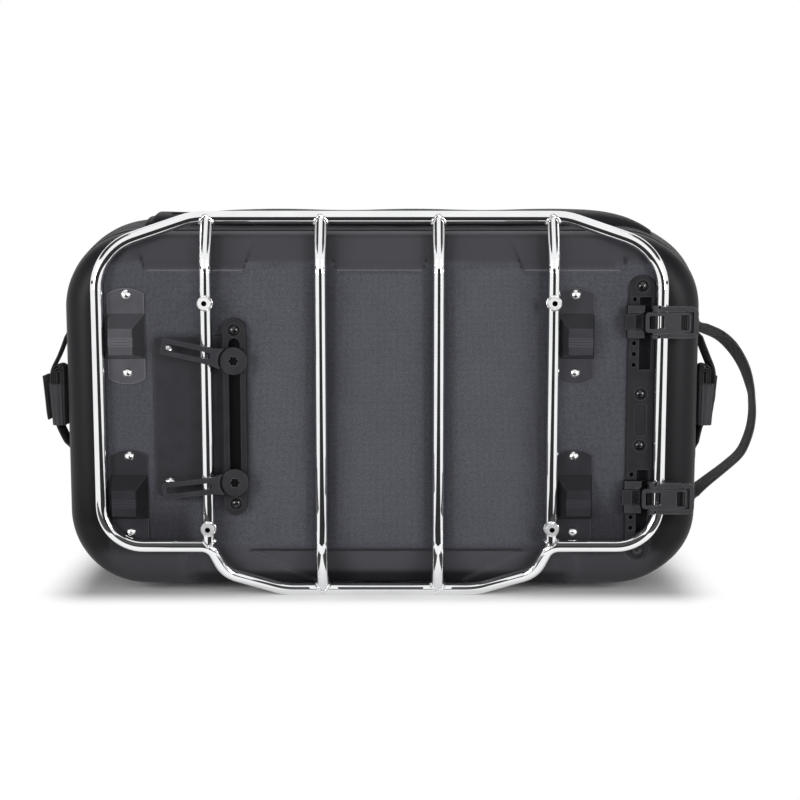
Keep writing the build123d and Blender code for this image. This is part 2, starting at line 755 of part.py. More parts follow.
def make_clamp_nut(z):
    half = NUT_CHANNEL_W / 2 - SLIDE_CLEAR
    shape = round_rect(
        SLOT_BAR_X - half, SLOT_BAR_X + half, z - NUT_L / 2, z + NUT_L / 2, 2.0
    )
    shape -= disc(SLOT_BAR_X, z, BOLT_SHANK_D / 2)
    lip = FACE_Y - NUT_CHANNEL_D
    nut_front = lip + (NUT_CHANNEL_D - NUT_T) / 2
    return slab(shape, nut_front, nut_front + NUT_T)


# Index rail on the right


def index_shape(grow):
    return round_rect(
        INDEX_LEFT - grow, INDEX_RIGHT + grow,
        INDEX_CENTRE_Z - INDEX_HALF_L - grow, INDEX_CENTRE_Z + INDEX_HALF_L + grow,
        INDEX_W / 2 + grow - 0.01,
    )


def index_rivet_places():
    x = (INDEX_LEFT + INDEX_RIGHT) / 2
    return [(x, INDEX_CENTRE_Z + side * up) for up in INDEX_RIVETS for side in (1, -1)]


def index_rivet_seat(z):
    """The lowest rivet sits on the flush tail, the others in counterbores."""
    if z < INDEX_CENTRE_Z - INDEX_HALF_L + INDEX_TAIL_L:
        return FACE_Y
    return INDEX_FRONT + RIVET_SINK


def make_index_rail(tube_room):
    """The rail with two groups of index holes and windows over T-channels, and a flush tail."""
    rail = slab(index_shape(0), INDEX_FRONT, INDEX_BACK)
    rail = chamfer(rail.faces().sort_by(Axis.Y)[0].edges(), INDEX_EDGE)
    rail -= tube_room
    for side in (-1, 1):
        low = INDEX_CENTRE_Z + side * INDEX_WINDOW_OFFSET - INDEX_WINDOW_L / 2
        high = low + INDEX_WINDOW_L
        window = rect(
            INDEX_WINDOW_X - INDEX_WINDOW_W / 2, INDEX_WINDOW_X + INDEX_WINDOW_W / 2, low, high
        )
        channel = rect(
            INDEX_WINDOW_X - INDEX_CHANNEL_W / 2, INDEX_WINDOW_X + INDEX_CHANNEL_W / 2, low, high
        )
        rail -= slab(window, INDEX_FRONT, INDEX_BACK)
        rail -= slab(channel, INDEX_FRONT + INDEX_LIP, INDEX_BACK)
        for step in range(INDEX_COUNT):
            z = INDEX_CENTRE_Z + side * (INDEX_FIRST + INDEX_PITCH * step)
            rail -= slab(disc(INDEX_HOLE_X, z, INDEX_HOLE_D / 2), INDEX_FRONT, INDEX_BACK)
    middle = (INDEX_LEFT + INDEX_RIGHT) / 2
    recess = round_rect(
        middle - INDEX_RECESS_W / 2, middle + INDEX_RECESS_W / 2,
        INDEX_CENTRE_Z - INDEX_RECESS_L / 2, INDEX_CENTRE_Z + INDEX_RECESS_L / 2, 2.0,
    )
    rail -= slab(recess, INDEX_FRONT, INDEX_FRONT + INDEX_RECESS_D)
    tail = INDEX_CENTRE_Z - INDEX_HALF_L + INDEX_TAIL_L
    rail -= slab(rect(INDEX_LEFT, INDEX_RIGHT, tail - INDEX_TAIL_L, tail), INDEX_FRONT, FACE_Y)
    sink_r = RIVET_HEAD_D / 2 + RIVET_SINK_MARGIN
    for x, z in index_rivet_places():
        rail -= slab(disc(x, z, RIVET_HOLE_R), INDEX_FRONT, INDEX_BACK)
        rail -= slab(disc(x, z, sink_r), INDEX_FRONT, INDEX_FRONT + RIVET_SINK)
    return rail


# Tube latch


def latch_axes():
    """Gate hinge and lever pin, in X and Y."""
    hinge = (RAIL_HALF_W - TUBE_R - HINGE_SIDE, BAR_Y - TUBE_R - HINGE_FRONT)
    pin = (RAIL_HALF_W + LEVER_PIN_X, BAR_Y - TUBE_R - TUBE_CLEAR - LEVER_PIN_FRONT)
    return hinge, pin


def catch_axis():
    block_right = INDEX_LEFT + CARRIAGE_BLOCK_W
    return block_right - 4.7, INDEX_FRONT - SLIDE_CLEAR - CARRIAGE_FLOOR_T - CATCH_T / 2 - 0.6


def make_carriage(z):
    """The block that runs on the rail: T-foot behind, hinge ears in front, room for the lever."""
    hinge, _ = latch_axes()
    back = INDEX_FRONT - SLIDE_CLEAR
    floor_front = back - CARRIAGE_FLOOR_T
    block_front = floor_front - CARRIAGE_BLOCK_H
    block_right = INDEX_LEFT + CARRIAGE_BLOCK_W
    left = INDEX_LEFT - CARRIAGE_OVERHANG
    right = RAIL_HALF_W - TUBE_R - CARRIAGE_TUBE_GAP
    notch = CATCH_HALF_H + SLIDE_CLEAR + 0.2
    half = CARRIAGE_HALF_H
    body = slab(rect(left, right, -half, half), floor_front, back)
    ear = Pos(*hinge) * Circle(EAR_R) + rect(hinge[0] - EAR_R, right, hinge[1], back)
    for low, high in ((notch, half), (-half, -notch)):
        post = slab(rect(left, block_right, low, high), block_front, back)
        rim = post.faces().sort_by(Axis.Y)[0].edges()
        body += fillet(rim, LATCH_EDGE_R)
    body += prism(ear, half - EAR_T, half) + prism(ear, -half, EAR_T - half)
    body -= slab(rect(left - 1.0, block_right - 1.0, -notch, notch), block_front - 1.0, back)
    neck_half = INDEX_WINDOW_W / 2 - SLIDE_CLEAR
    foot_half = INDEX_CHANNEL_W / 2 - SLIDE_CLEAR
    channel_front = INDEX_FRONT + INDEX_LIP
    foot_front = channel_front + SLIDE_CLEAR
    neck = rect(
        INDEX_WINDOW_X - neck_half, INDEX_WINDOW_X + neck_half, -T_FOOT_HALF_H, T_FOOT_HALF_H
    )
    foot = rect(
        INDEX_WINDOW_X - foot_half, INDEX_WINDOW_X + foot_half, -T_FOOT_HALF_H, T_FOOT_HALF_H
    )
    body += slab(neck, back, foot_front)
    body += slab(foot, foot_front, foot_front + T_FOOT_T)
    pin_hole = Pos(*hinge) * Circle(GATE_PIN_R)
    body -= prism(pin_hole, -half, half)
    lever_front = GATE_PIN_R + LEVER_SEAT + LEVER_T
    sweep = Pos(*hinge) * Circle(math.hypot(LEVER_LEFT, lever_front) + SLIDE_CLEAR)
    sweep += rect(hinge[0] - LEVER_LEFT / 2, right + 1.0, hinge[1], back + 1.0)
    room = LEVER_HALF_H + SLIDE_CLEAR
    body -= prism(sweep, -room, room)
    socket = Pos(*catch_axis()) * Circle(CATCH_PIVOT_R + FIT)
    reach = CATCH_HALF_H + CATCH_TRUNNION_L + SLIDE_CLEAR
    body -= prism(socket, -reach, reach)
    return Pos(0, 0, z) * body


def make_index_catch(z):
    """A rocking thumb catch on two trunnions, with its peg over the index holes."""
    axis = catch_axis()
    front = axis[1] - CATCH_T / 2
    back = axis[1] + CATCH_T / 2
    right = axis[0] + 2.9
    left = INDEX_LEFT - CATCH_TAB
    shape = round_rect(left, right, -CATCH_HALF_H, CATCH_HALF_H, 1.2)
    tab = round_rect(left, left + 2 * CATCH_TAB, -CATCH_HALF_H, CATCH_HALF_H, 1.2)
    catch = slab(shape, front, back) + slab(tab, front - CATCH_TAB_RISE, front + 1.0)
    peg_end = INDEX_FRONT - 2 * SLIDE_CLEAR
    catch += slab(disc(INDEX_HOLE_X, 0, CATCH_PEG_D / 2), back, peg_end)
    reach = CATCH_HALF_H + CATCH_TRUNNION_L
    catch += prism(Pos(*axis) * Circle(CATCH_PIVOT_R), -reach, reach)
    return Pos(0, 0, z) * catch


def gate_levels():
    back = BAR_Y - TUBE_R - TUBE_CLEAR
    return back - GATE_T, back


def make_gate(z):
    """Two cheeks that hook round the tube, joined by a bow at the outer end."""
    hinge, pin = latch_axes()
    front, back = gate_levels()
    jaw_in = RAIL_HALF_W + TUBE_R + TUBE_CLEAR
    jaw_out = jaw_in + GATE_JAW_W
    end = RAIL_HALF_W + GATE_END
    jaw = rect(RAIL_HALF_W, jaw_out, back - 1.0, BAR_Y + GATE_JAW_BACK)
    jaw = fillet(jaw.vertices().sort_by(Axis.X)[-2:], 3.5)
    cheek = Pos(*hinge) * Circle(GATE_EYE_R) + rect(hinge[0], end - GATE_CORNER_R, front, back)
    cheek += jaw - Pos(RAIL_HALF_W, BAR_Y) * Circle(TUBE_R + TUBE_CLEAR)
    cheek += Pos(*pin) * Circle(GATE_EYE_R)
    lap = GATE_OUTER - EAR_T + SLIDE_CLEAR - 0.5
    lap_end = hinge[0] + EAR_R + 0.9
    side = prism(cheek, GATE_INNER, GATE_OUTER)
    side -= prism(rect(hinge[0] - 2 * EAR_R, lap_end, front - EAR_R, back + 2 * EAR_R), lap, GATE_OUTER + 1)
    gate = side + mirror(side, about=Plane.XY)
    bow_left = end - 2 * GATE_CORNER_R
    bow = round_rect(bow_left - GATE_CORNER_R, end, -GATE_OUTER, GATE_OUTER, GATE_CORNER_R)
    bow -= rect(bow_left - 2 * GATE_CORNER_R, end - GATE_BOW, -GATE_INNER, GATE_INNER)
    bow -= rect(bow_left - 2 * GATE_CORNER_R, bow_left, -2 * GATE_OUTER, 2 * GATE_OUTER)
    bow = slab(bow, front - 0.5, back + 1.2)
    gate += fillet(bow.faces().sort_by(Axis.Y)[0].edges(), LATCH_EDGE_R)
    gate -= prism(Pos(*hinge) * Circle(GATE_PIN_R + FIT), -GATE_OUTER - 1, GATE_OUTER + 1)
    gate -= prism(Pos(*pin) * Circle(LEVER_PIN_R), -GATE_OUTER - 1, GATE_OUTER + 1)
    return Pos(0, 0, z) * gate


def make_lever(z):
    """The closing lever: a plate with a loop at its free end and a slot over its pin."""
    hinge, pin = latch_axes()
    back = hinge[1] - GATE_PIN_R - LEVER_SEAT
    front = back - LEVER_T
    left = hinge[0] - LEVER_LEFT
    right = RAIL_HALF_W + LEVER_RIGHT
    window_left = left + LEVER_BAR
    slot_right = right - 1.7
    shape = round_rect(left, right, -LEVER_HALF_H, LEVER_HALF_H, 3.5)
    shape -= round_rect(
        window_left, window_left + LEVER_WINDOW_L, -LEVER_WINDOW_HALF, LEVER_WINDOW_HALF, 1.5
    )
    shape -= round_rect(
        slot_right - LEVER_SLOT_L, slot_right, -LEVER_SLOT_HALF, LEVER_SLOT_HALF, 1.0
    )
    lever = slab(shape, front, back)
    lever = fillet(lever.faces().sort_by(Axis.Y)[0].edges(), LATCH_EDGE_R)
    lug = Pos(*pin) * Circle(LEVER_LUG_R)
    lug += rect(pin[0] - LEVER_LUG_R, pin[0] + LEVER_LUG_R, back - 1.0, pin[1])
    lever += prism(lug, LEVER_SLOT_HALF, LEVER_HALF_H) + prism(lug, -LEVER_HALF_H, -LEVER_SLOT_HALF)
    lever -= prism(Pos(*pin) * Circle(LEVER_PIN_R + FIT), -LEVER_HALF_H, LEVER_HALF_H)
    return Pos(0, 0, z) * lever


def make_pin(axis, radius, half, z):
    pin = prism(Pos(*axis) * Circle(radius), -half, half)
    return Pos(0, 0, z) * chamfer(pin.edges().filter_by(GeomType.CIRCLE), 0.3)


# Webbing


def band(points, radii, thickness, width, y):
    """A flat strap bent in the X-Z plane, its width along Y."""
    path = FilletPolyline(*[(x, y, z) for x, z in points], radius=radii)
    plane = Plane(origin=path @ 0, x_dir=(0, 1, 0), z_dir=path % 0)
    return sweep(plane * Rectangle(width, thickness), path=path)


def make_side_handle():
    """The carrying loop: a long shallow bow off the right-hand wall."""
    y = BAR_Y + HANDLE_Y
    seat = BAG_HALF_W + wall_side(y) + ANCHOR_T + HANDLE_T / 2
    out = seat + HANDLE_REACH
    height = HANDLE_TOP_Z - HANDLE_BOTTOM_Z
    points = [
        (seat, HANDLE_TOP_Z + ANCHOR_H * 0.4),
        (seat, HANDLE_TOP_Z),
        (out - HANDLE_REACH * 0.18, HANDLE_TOP_Z - height * 0.18),
        (out, HANDLE_TOP_Z - height * 0.40),
        (out, HANDLE_TOP_Z - height * 0.62),
        (out - HANDLE_REACH * 0.25, HANDLE_TOP_Z - height * 0.83),
        (seat, HANDLE_BOTTOM_Z),
        (seat, HANDLE_BOTTOM_Z - ANCHOR_H * 0.4),
    ]
    bends = [HANDLE_REACH * share for share in (0.11, 0.71, 0.57, 0.57, 0.86, 0.11)]
    return band(points, bends, HANDLE_T, WEB_W, y)


def make_handle_anchors():
    """Stitched plates under the two ends of the handle."""
    y = BAR_Y + HANDLE_Y
    plates = []
    for z in (HANDLE_TOP_Z + ANCHOR_H * 0.2, HANDLE_BOTTOM_Z - ANCHOR_H * 0.2):
        stand = BAG_HALF_W + wall_side(y) + ANCHOR_T
        plate = Pos(stand, y, z) * Box(
            WALL_BULGE, ANCHOR_W, ANCHOR_H, align=(Align.MAX, Align.CENTER, Align.CENTER)
        )
        plates.append(largest(plate - wall_blank(-SEWN_GAP)))
    return Compound(children=plates)


def make_side_strap():
    """The compression strap of one side, drawn for the right; it leaves and rejoins the wall."""
    y = BAR_Y + STRAP_Y
    wall = BAG_HALF_W + wall_side(y + WEB_W / 2)
    seat = wall + WEB_T / 2 + WEB_GAP
    out = seat + STRAP_REACH - BUNDLE_T / 2
    half = BUNDLE_H / 2
    points = [
        (seat, STRAP_TOP_Z + STRAP_END_L),
        (seat, STRAP_TOP_Z),
        (out, BUNDLE_Z + half + 2.0),
        (out, BUNDLE_Z - half - 2.0),
        (seat, STRAP_BOTTOM_Z),
        (seat, STRAP_BOTTOM_Z - STRAP_END_L),
    ]
    strap = band(points, [10.0, 12.0, 6.0, 6.0], WEB_T, WEB_W, y)
    for low in (STRAP_TOP_Z + 4.0, STRAP_BOTTOM_Z - STRAP_END_L):
        root = rect(BAG_HALF_W - WALL_T, seat, low, low + STRAP_END_L - 4.0)
        strap += slab(root, y - WEB_W / 2, y + WEB_W / 2)
    return largest(strap - wall_blank(-SEWN_GAP)), out


def make_strap_bundle(out):
    """The rolled strap tail, round the strap's outer run."""
    y = BAR_Y + STRAP_Y
    shape = round_rect(
        out - BUNDLE_T / 2, out + BUNDLE_T / 2 + 2.0, BUNDLE_Z - BUNDLE_H / 2, BUNDLE_Z + BUNDLE_H / 2,
        BUNDLE_R,
    )
    return slab(shape, y - BUNDLE_W / 2, y + BUNDLE_W / 2)


def make_strap_keeper(out):
    """A wide elastic wrap round the rolled tail."""
    y = BAR_Y + STRAP_Y
    low_x = out - BUNDLE_T / 2
    high_x = out + BUNDLE_T / 2 + 2.0
    low_y = y - BUNDLE_W / 2
    high_y = y + BUNDLE_W / 2
    outside = round_rect(
        low_x - KEEPER_T, high_x + KEEPER_T, low_y - KEEPER_T, high_y + KEEPER_T, KEEPER_T
    )
    inside = rect(low_x, high_x, low_y, high_y)
    return prism(outside - inside, KEEPER_Z - KEEPER_H / 2, KEEPER_Z + KEEPER_H / 2)


# Zip


def zip_y():
    return WALL_BACK + ZIP_W / 2


def pull_axis():
    """Where the right-hand pull hinges, in X and Z."""
    slider_face = BAG_HALF_W + ZIP_PROUD + LID_GAP + SLIDER_T
    return slider_face + PULL_EYE_R + LID_GAP, SLIDER_Z - SLIDER_H / 4


def make_zip_slider():
    """The slider of one side, drawn for the right, with two lugs for its pull."""
    x, z = pull_axis()
    low = BAG_HALF_W + ZIP_PROUD + LID_GAP
    body = Pos(low, zip_y(), SLIDER_Z) * Box(
        SLIDER_T, SLIDER_W, SLIDER_H, align=(Align.MIN, Align.CENTER, Align.CENTER)
    )
    body = fillet(body.edges().filter_by(Axis.X), 2.5)
    lug = disc(x, z, PULL_EYE_R) + rect(low + SLIDER_T / 2, x, z - PULL_EYE_R, z + PULL_EYE_R)
    lug -= disc(x, z, PULL_PIN_R + FIT)
    inner = PULL_W / 4 + LID_GAP
    body += slab(lug, zip_y() - SLIDER_W / 2, zip_y() - inner)
    body += slab(lug, zip_y() + inner, zip_y() + SLIDER_W / 2)
    return body


def make_zip_pull():
    """The pull hangs from trunnions between the slider's lugs."""
    x, z = pull_axis()
    inner = PULL_W / 4
    knuckle = disc(x, z, PULL_EYE_R) + rect(x - PULL_T / 2, x + PULL_T / 2, z - SLIDER_H / 2, z)
    pull = slab(knuckle, zip_y() - inner, zip_y() + inner)
    pull += slab(disc(x, z, PULL_PIN_R), zip_y() - SLIDER_W / 2, zip_y() + SLIDER_W / 2)
    blade_top = z - PULL_EYE_R - LID_GAP
    blade = round_rect(
        zip_y() - PULL_W / 2, zip_y() + PULL_W / 2, blade_top - PULL_L, blade_top, 2.0
    )
    return pull + extrude(Plane.YZ.offset(x - PULL_T / 2) * blade, PULL_T)


def build():
    parts = {}
    rail = make_perimeter_rail(0)
    tube_room = make_perimeter_rail(TUBE_MARGIN)
    parts["perimeter_rail"] = rail
    bars = [-OUTER_BAR_X, -INNER_BAR_X, INNER_BAR_X, OUTER_BAR_X]
    for count, x in enumerate(bars, 1):
        parts[f"cross_bar_{count}"] = make_cross_bar(x, rail)
    placed_bars = [(x, parts[f"cross_bar_{count}"]) for count, x in enumerate(bars, 1)]
    parts["mounting_bosses"] = make_mounting_bosses(
        [(parts["cross_bar_1"], -1), (parts["cross_bar_4"], 1)]
    )

    groups = {
        "foot_rivets": (foot_rivet_places(), lambda z: FACE_Y - FOOT_T),
        "panel_rivets": (panel_rivet_places(), lambda z: FACE_Y),
        "slotted_bar_rivets": (slot_bar_rivet_places(), lambda z: SLOT_BAR_FRONT + RIVET_SINK),
        "index_rail_rivets": (index_rivet_places(), index_rivet_seat),
    }
    places = [place for group, _ in groups.values() for place in group]
    for name, (group, seat) in groups.items():
        parts[name] = rivet_group(group, seat)
    parts["rivet_washers"] = make_washers(places)
    parts["base_tray"] = make_base_tray(places, placed_bars)
    parts["base_stiffener"] = make_base_stiffener(places)
    parts["piping"] = make_piping()
    parts["body_wall"] = make_body_wall()
    parts["side_pocket"] = make_side_pocket()
    parts["zip_tape"] = make_zip_tape()
    parts["hinge_tape"] = make_hinge_tape()
    parts["lid"] = make_lid()

    for name, x, z, hand in foot_centres():
        parts[name] = make_foot(x, z, hand, tube_room)
    parts["wear_panel"] = make_wear_panel()
    parts["slotted_bar"] = make_slotted_bar()
    parts["index_rail"] = make_index_rail(tube_room)
    for level, bolt_z, angle, latch_z in (
        ("upper", BOLT_UPPER_Z, ARM_UPPER_ANGLE, LATCH_UPPER_Z),
        ("lower", BOLT_LOWER_Z, ARM_LOWER_ANGLE, LATCH_LOWER_Z),
    ):
        parts[f"{level}_arm"] = make_arm(bolt_z, angle)
        parts[f"{level}_clamp_bolt"] = make_clamp_bolt(bolt_z)
        parts[f"{level}_clamp_nut"] = make_clamp_nut(bolt_z)
        hinge, pin = latch_axes()
        parts[f"{level}_carriage"] = make_carriage(latch_z)
        parts[f"{level}_index_catch"] = make_index_catch(latch_z)
        parts[f"{level}_gate"] = make_gate(latch_z)
        parts[f"{level}_lever"] = make_lever(latch_z)
        parts[f"{level}_gate_pin"] = make_pin(hinge, GATE_PIN_R, CARRIAGE_HALF_H, latch_z)
        parts[f"{level}_lever_pin"] = make_pin(pin, LEVER_PIN_R, GATE_OUTER + 0.6, latch_z)

    parts["side_handle"] = make_side_handle()
    parts["handle_anchors"] = make_handle_anchors()
    strap, out = make_side_strap()
    bundle = make_strap_bundle(out) - strap
    keeper = make_strap_keeper(out)
    slider = make_zip_slider()
    pull = make_zip_pull()
    parts["right_strap"] = strap
    parts["left_strap"] = mirror_x(strap)
    parts["right_strap_bundle"] = bundle
    parts["left_strap_bundle"] = mirror_x(bundle)
    parts["right_zip_slider"] = slider
    parts["left_zip_slider"] = mirror_x(slider)
    parts["right_zip_pull"] = pull
    parts["left_zip_pull"] = mirror_x(pull)
    parts["strap_keepers"] = Compound(children=[keeper.solid(), mirror_x(keeper).solid()])
    return parts


os.makedirs("parts", exist_ok=True)
for node, shape in build().items():
    export_step(shape, f"parts/{node}.step")
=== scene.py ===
import math

import bmesh
import bpy
import numpy as np
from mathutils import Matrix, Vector, noise


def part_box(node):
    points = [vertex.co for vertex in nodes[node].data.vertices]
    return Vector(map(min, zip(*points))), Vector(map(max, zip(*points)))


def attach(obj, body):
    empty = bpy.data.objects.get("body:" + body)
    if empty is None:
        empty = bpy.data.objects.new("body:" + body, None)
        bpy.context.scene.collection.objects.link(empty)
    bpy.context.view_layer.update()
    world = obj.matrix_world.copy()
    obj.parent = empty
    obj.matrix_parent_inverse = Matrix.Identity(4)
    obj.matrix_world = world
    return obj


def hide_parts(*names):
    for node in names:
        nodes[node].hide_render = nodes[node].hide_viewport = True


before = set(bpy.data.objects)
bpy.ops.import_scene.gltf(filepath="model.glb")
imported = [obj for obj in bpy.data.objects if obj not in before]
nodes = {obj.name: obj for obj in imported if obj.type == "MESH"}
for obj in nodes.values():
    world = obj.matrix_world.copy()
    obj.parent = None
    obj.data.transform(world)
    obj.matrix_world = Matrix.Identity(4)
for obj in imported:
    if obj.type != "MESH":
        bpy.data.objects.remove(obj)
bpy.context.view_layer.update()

MM = 0.001
ROOT = "rack_and_bag"
scene = bpy.context.scene


def limits(node):
    """A node's lowest and highest corners, in millimetres."""
    low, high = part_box(node)
    return low / MM, high / MM


# Sizes in millimetres, read from the solids where they carry them.
TUBE_R = 6.35
BAR_Y = 12.0
base_low, base_high = limits("base_tray")
panel_low, panel_high = limits("wear_panel")
wall_low, wall_high = limits("body_wall")
lid_low, lid_high = limits("lid")
rail_low, rail_high = limits("perimeter_rail")
index_low, index_high = limits("index_rail")
FACE = panel_low.y
HALF_W = base_high.x
TOP_Z = base_high.z
BOTTOM_Z = base_low.z
MID_Z = (TOP_Z + BOTTOM_Z) / 2
CORNER_R = 78.0
EDGE_R = 28.0
BASE_BACK = base_high.y
WALL_FRONT = wall_low.y
WALL_BACK = wall_high.y
BULGE = wall_high.x - HALF_W
LID_FRONT = lid_low.y
LID_BACK = lid_high.y
LID_EDGE_R = 30.0
FLOOR_Z = rail_low.z
RUN_BACK = 20.0
RUN_Y = BAR_Y + RUN_BACK
TOP_RUN_Z = rail_high.z - TUBE_R
BOTTOM_RUN_Z = rail_low.z + TUBE_R
LOWER_RUN_Z = -134.0
BARS = [limits(f"cross_bar_{k}") for k in (1, 2, 3, 4)]
BARS = [(low.x + high.x) / 2 for low, high in BARS]
INNER_BAR = abs(BARS[1])
OUTER_BAR = abs(BARS[0])
BOSS_Z = 115.0


# Mesh helpers


def smoothstep(low, high, value):
    t = np.clip((value - low) / (high - low), 0.0, 1.0)
    return t * t * (3 - 2 * t)


def soft_max(a, b, k):
    """The larger of two fields, blended over about k."""
    h = np.clip(0.5 + 0.5 * (a - b) / k, 0.0, 1.0)
    return b * (1 - h) + a * h + k * h * (1 - h)


def unit(vectors):
    """Each row at length 1."""
    return vectors / np.linalg.norm(vectors, axis=1)[:, None]


def tangents(path, closed=False):
    """Unit directions along a path."""
    if closed:
        return unit(np.roll(path, -1, 0) - np.roll(path, 1, 0))
    return unit(np.gradient(path, axis=0))


def around(count):
    """Angles of equal steps round a circle."""
    return [2 * math.pi * k / count for k in range(count)]


def ripple(points, scale, seed):
    """Smooth noise of about -1 to 1 at each point, in millimetres."""
    shift = Vector((seed * 17.3, seed * 9.1, seed * 5.7))
    return np.array([noise.noise(Vector(p) / scale + shift) for p in points])


def add_object(name, verts, faces, material, body=ROOT, smooth=True):
    mesh = bpy.data.meshes.new(name)
    mesh.from_pydata([tuple(float(c) * MM for c in v) for v in verts], [], [list(f) for f in faces])
    mesh.validate()
    mesh.update()
    obj = bpy.data.objects.new(name, mesh)
    scene.collection.objects.link(obj)
    mesh.materials.append(material)
    for p in mesh.polygons:
        p.use_smooth = smooth
    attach(obj, body)
    return obj


def tidy_normals(obj, merge=1e-6):
    bm = bmesh.new()
    bm.from_mesh(obj.data)
    bmesh.ops.remove_doubles(bm, verts=bm.verts, dist=merge)
    bmesh.ops.recalc_face_normals(bm, faces=bm.faces)
    bm.to_mesh(obj.data)
    bm.free()
    return obj


def thicken(obj, wall):
    """Gives a sheet its wall, on the inside of its outer face."""
    thick = obj.modifiers.new("wall", "SOLIDIFY")
    thick.thickness = wall * MM
    thick.offset = -1.0


def grid_faces(rows, cols, wrap_rows=False, wrap_cols=False, start=0):
    faces = []
    for i in range(rows if wrap_rows else rows - 1):
        for j in range(cols if wrap_cols else cols - 1):
            a = i * cols + j
            b = i * cols + (j + 1) % cols
            c = ((i + 1) % rows) * cols + (j + 1) % cols
            d = ((i + 1) % rows) * cols + j
            faces.append((start + a, start + b, start + c, start + d))
    return faces


def end_caps(rows, cols):
    return [tuple(range(cols))[::-1], tuple((rows - 1) * cols + k for k in range(cols))]


def smooth_path(points, steps):
    """A Catmull-Rom curve through the points."""
    pts = [np.array(p, float) for p in points]
    n = len(pts)
    out = []
    for i in range(n - 1):
        p0 = pts[max(i - 1, 0)]
        p1, p2 = pts[i], pts[i + 1]
        p3 = pts[min(i + 2, n - 1)]
        for s in range(steps):
            t = s / steps
            out.append(
                0.5 * ((2 * p1) + (p2 - p0) * t + (2 * p0 - 5 * p1 + 4 * p2 - p3) * t**2
                       + (3 * p1 - p0 - 3 * p2 + p3) * t**3)
            )
    out.append(pts[-1])
    return np.array(out)


def tube(name, path, radius, sides, material, closed=False, body=ROOT):
    """A round tube along points, with a frame carried along the path."""
    path = np.array(path, float)
    n = len(path)
    tangent = tangents(path, closed)
    ref = np.array([0.0, 1.0, 0.0])
    if abs(tangent[0] @ ref) > 0.9:
        ref = np.array([1.0, 0.0, 0.0])
    side = np.cross(tangent[0], ref)
    verts = []
    radii = np.broadcast_to(radius, (n,))
    for i in range(n):
        side = side - tangent[i] * (side @ tangent[i])
        side /= np.linalg.norm(side)
        up = np.cross(tangent[i], side)
        for a in around(sides):
            verts.append(path[i] + radii[i] * (math.cos(a) * side + math.sin(a) * up))
    faces = grid_faces(n, sides, wrap_rows=closed, wrap_cols=True)
    if not closed:
        faces += end_caps(n, sides)
    return tidy_normals(add_object(name, verts, faces, material, body))


RIB_POINTS = 13
SELVEDGE = 0.35


def ribbon(name, path, across, width, thick, material, rib=0.0):
    """A flat woven strap along a path: across gives the width direction at each point."""
    path = np.array(path, float)
    across = unit(np.array(across, float))
    normal = unit(np.cross(tangents(path), across))
    half = width / 2
    t = thick / 2
    edge = t * SELVEDGE
    inner = np.linspace(-half + t * 0.6, half - t * 0.6, RIB_POINTS)
    swell = [t + (rib if k % 2 else 0.0) for k in range(RIB_POINTS)]
    section = [(-half, -edge)] + [(u, -s) for u, s in zip(inner, swell)] + [(half, -edge)]
    section += [(half, edge)] + [(u, s) for u, s in zip(inner[::-1], swell[::-1])] + [(-half, edge)]
    verts = []
    for p, a, n in zip(path, across, normal):
        for u, v in section:
            verts.append(p + a * u + n * v)
    faces = grid_faces(len(path), len(section), wrap_cols=True) + end_caps(len(path), len(section))
    return tidy_normals(add_object(name, verts, faces, material))


# The bag's outline

PER_CORNER, PER_LONG, PER_SHORT = 24, 240, 84


def outline(inset):
    """Points round the bag at an inset from its outline, as X and Z, from the top left corner on."""
    r = CORNER_R - inset
    cx = HALF_W - CORNER_R
    top = TOP_Z - CORNER_R
    low = BOTTOM_Z + CORNER_R
    pts = []

    def arc(x, z, start):
        for k in range(PER_CORNER):
            a = math.radians(start - 90 * k / PER_CORNER)
            pts.append((x + r * math.cos(a), z + r * math.sin(a)))

    def run(a, b, count):
        for k in range(count):
            t = k / count
            pts.append((a[0] + (b[0] - a[0]) * t, a[1] + (b[1] - a[1]) * t))

    arc(-cx, top, 180)
    run((-cx, top + r), (cx, top + r), PER_LONG)
    arc(cx, top, 90)
    run((cx + r, top), (cx + r, low), PER_SHORT)
    arc(cx, low, 0)
    run((cx, low - r), (-cx, low - r), PER_LONG)
    arc(-cx, low, -90)
    run((-cx - r, low), (-cx - r, top), PER_SHORT)
    return np.array(pts)


rim = outline(0.0)


def inset_of(x, z):
    """How far inside the outline a point lies."""
    qx = np.abs(x) - HALF_W + CORNER_R
    qz = np.abs(z - MID_Z) - (TOP_Z - MID_Z) + CORNER_R
    outside = np.hypot(np.maximum(qx, 0), np.maximum(qz, 0))
    return CORNER_R - outside - np.minimum(np.maximum(qx, qz), 0)


SPREAD = 5.0
SPREAD_FROM_X = 278.0


def full_right(co):
    """The bag stands a little fuller on its right than on its left; the zip line does not."""
    co = np.array(co, float)
    share = smoothstep(SPREAD_FROM_X, HALF_W + 2.0, co[:, 0])
    share *= smoothstep(WALL_BACK - 15.0, WALL_BACK - 95.0, co[:, 1])
    co[:, 0] += SPREAD * share
    return co


# Base: a moulded cloth shell with a scooped top and bottom and pads between the bars

LIP_Z = 147.5
LIP_FLARE = 0.27
PAD_TOP_Z = 156.5
PAD_LOW_Z = -139.0
FIELD_X = 238.0
FIELD_TOP_Z = 160.0
PADS = ((-132.0, -70.0), (-50.0, 50.0), (70.0, 165.0))
SHOULDER = 20.0
PAD_RISE = 3.6
CHANNEL_SINK = 2.2
CHANNEL_HALF = 9.0


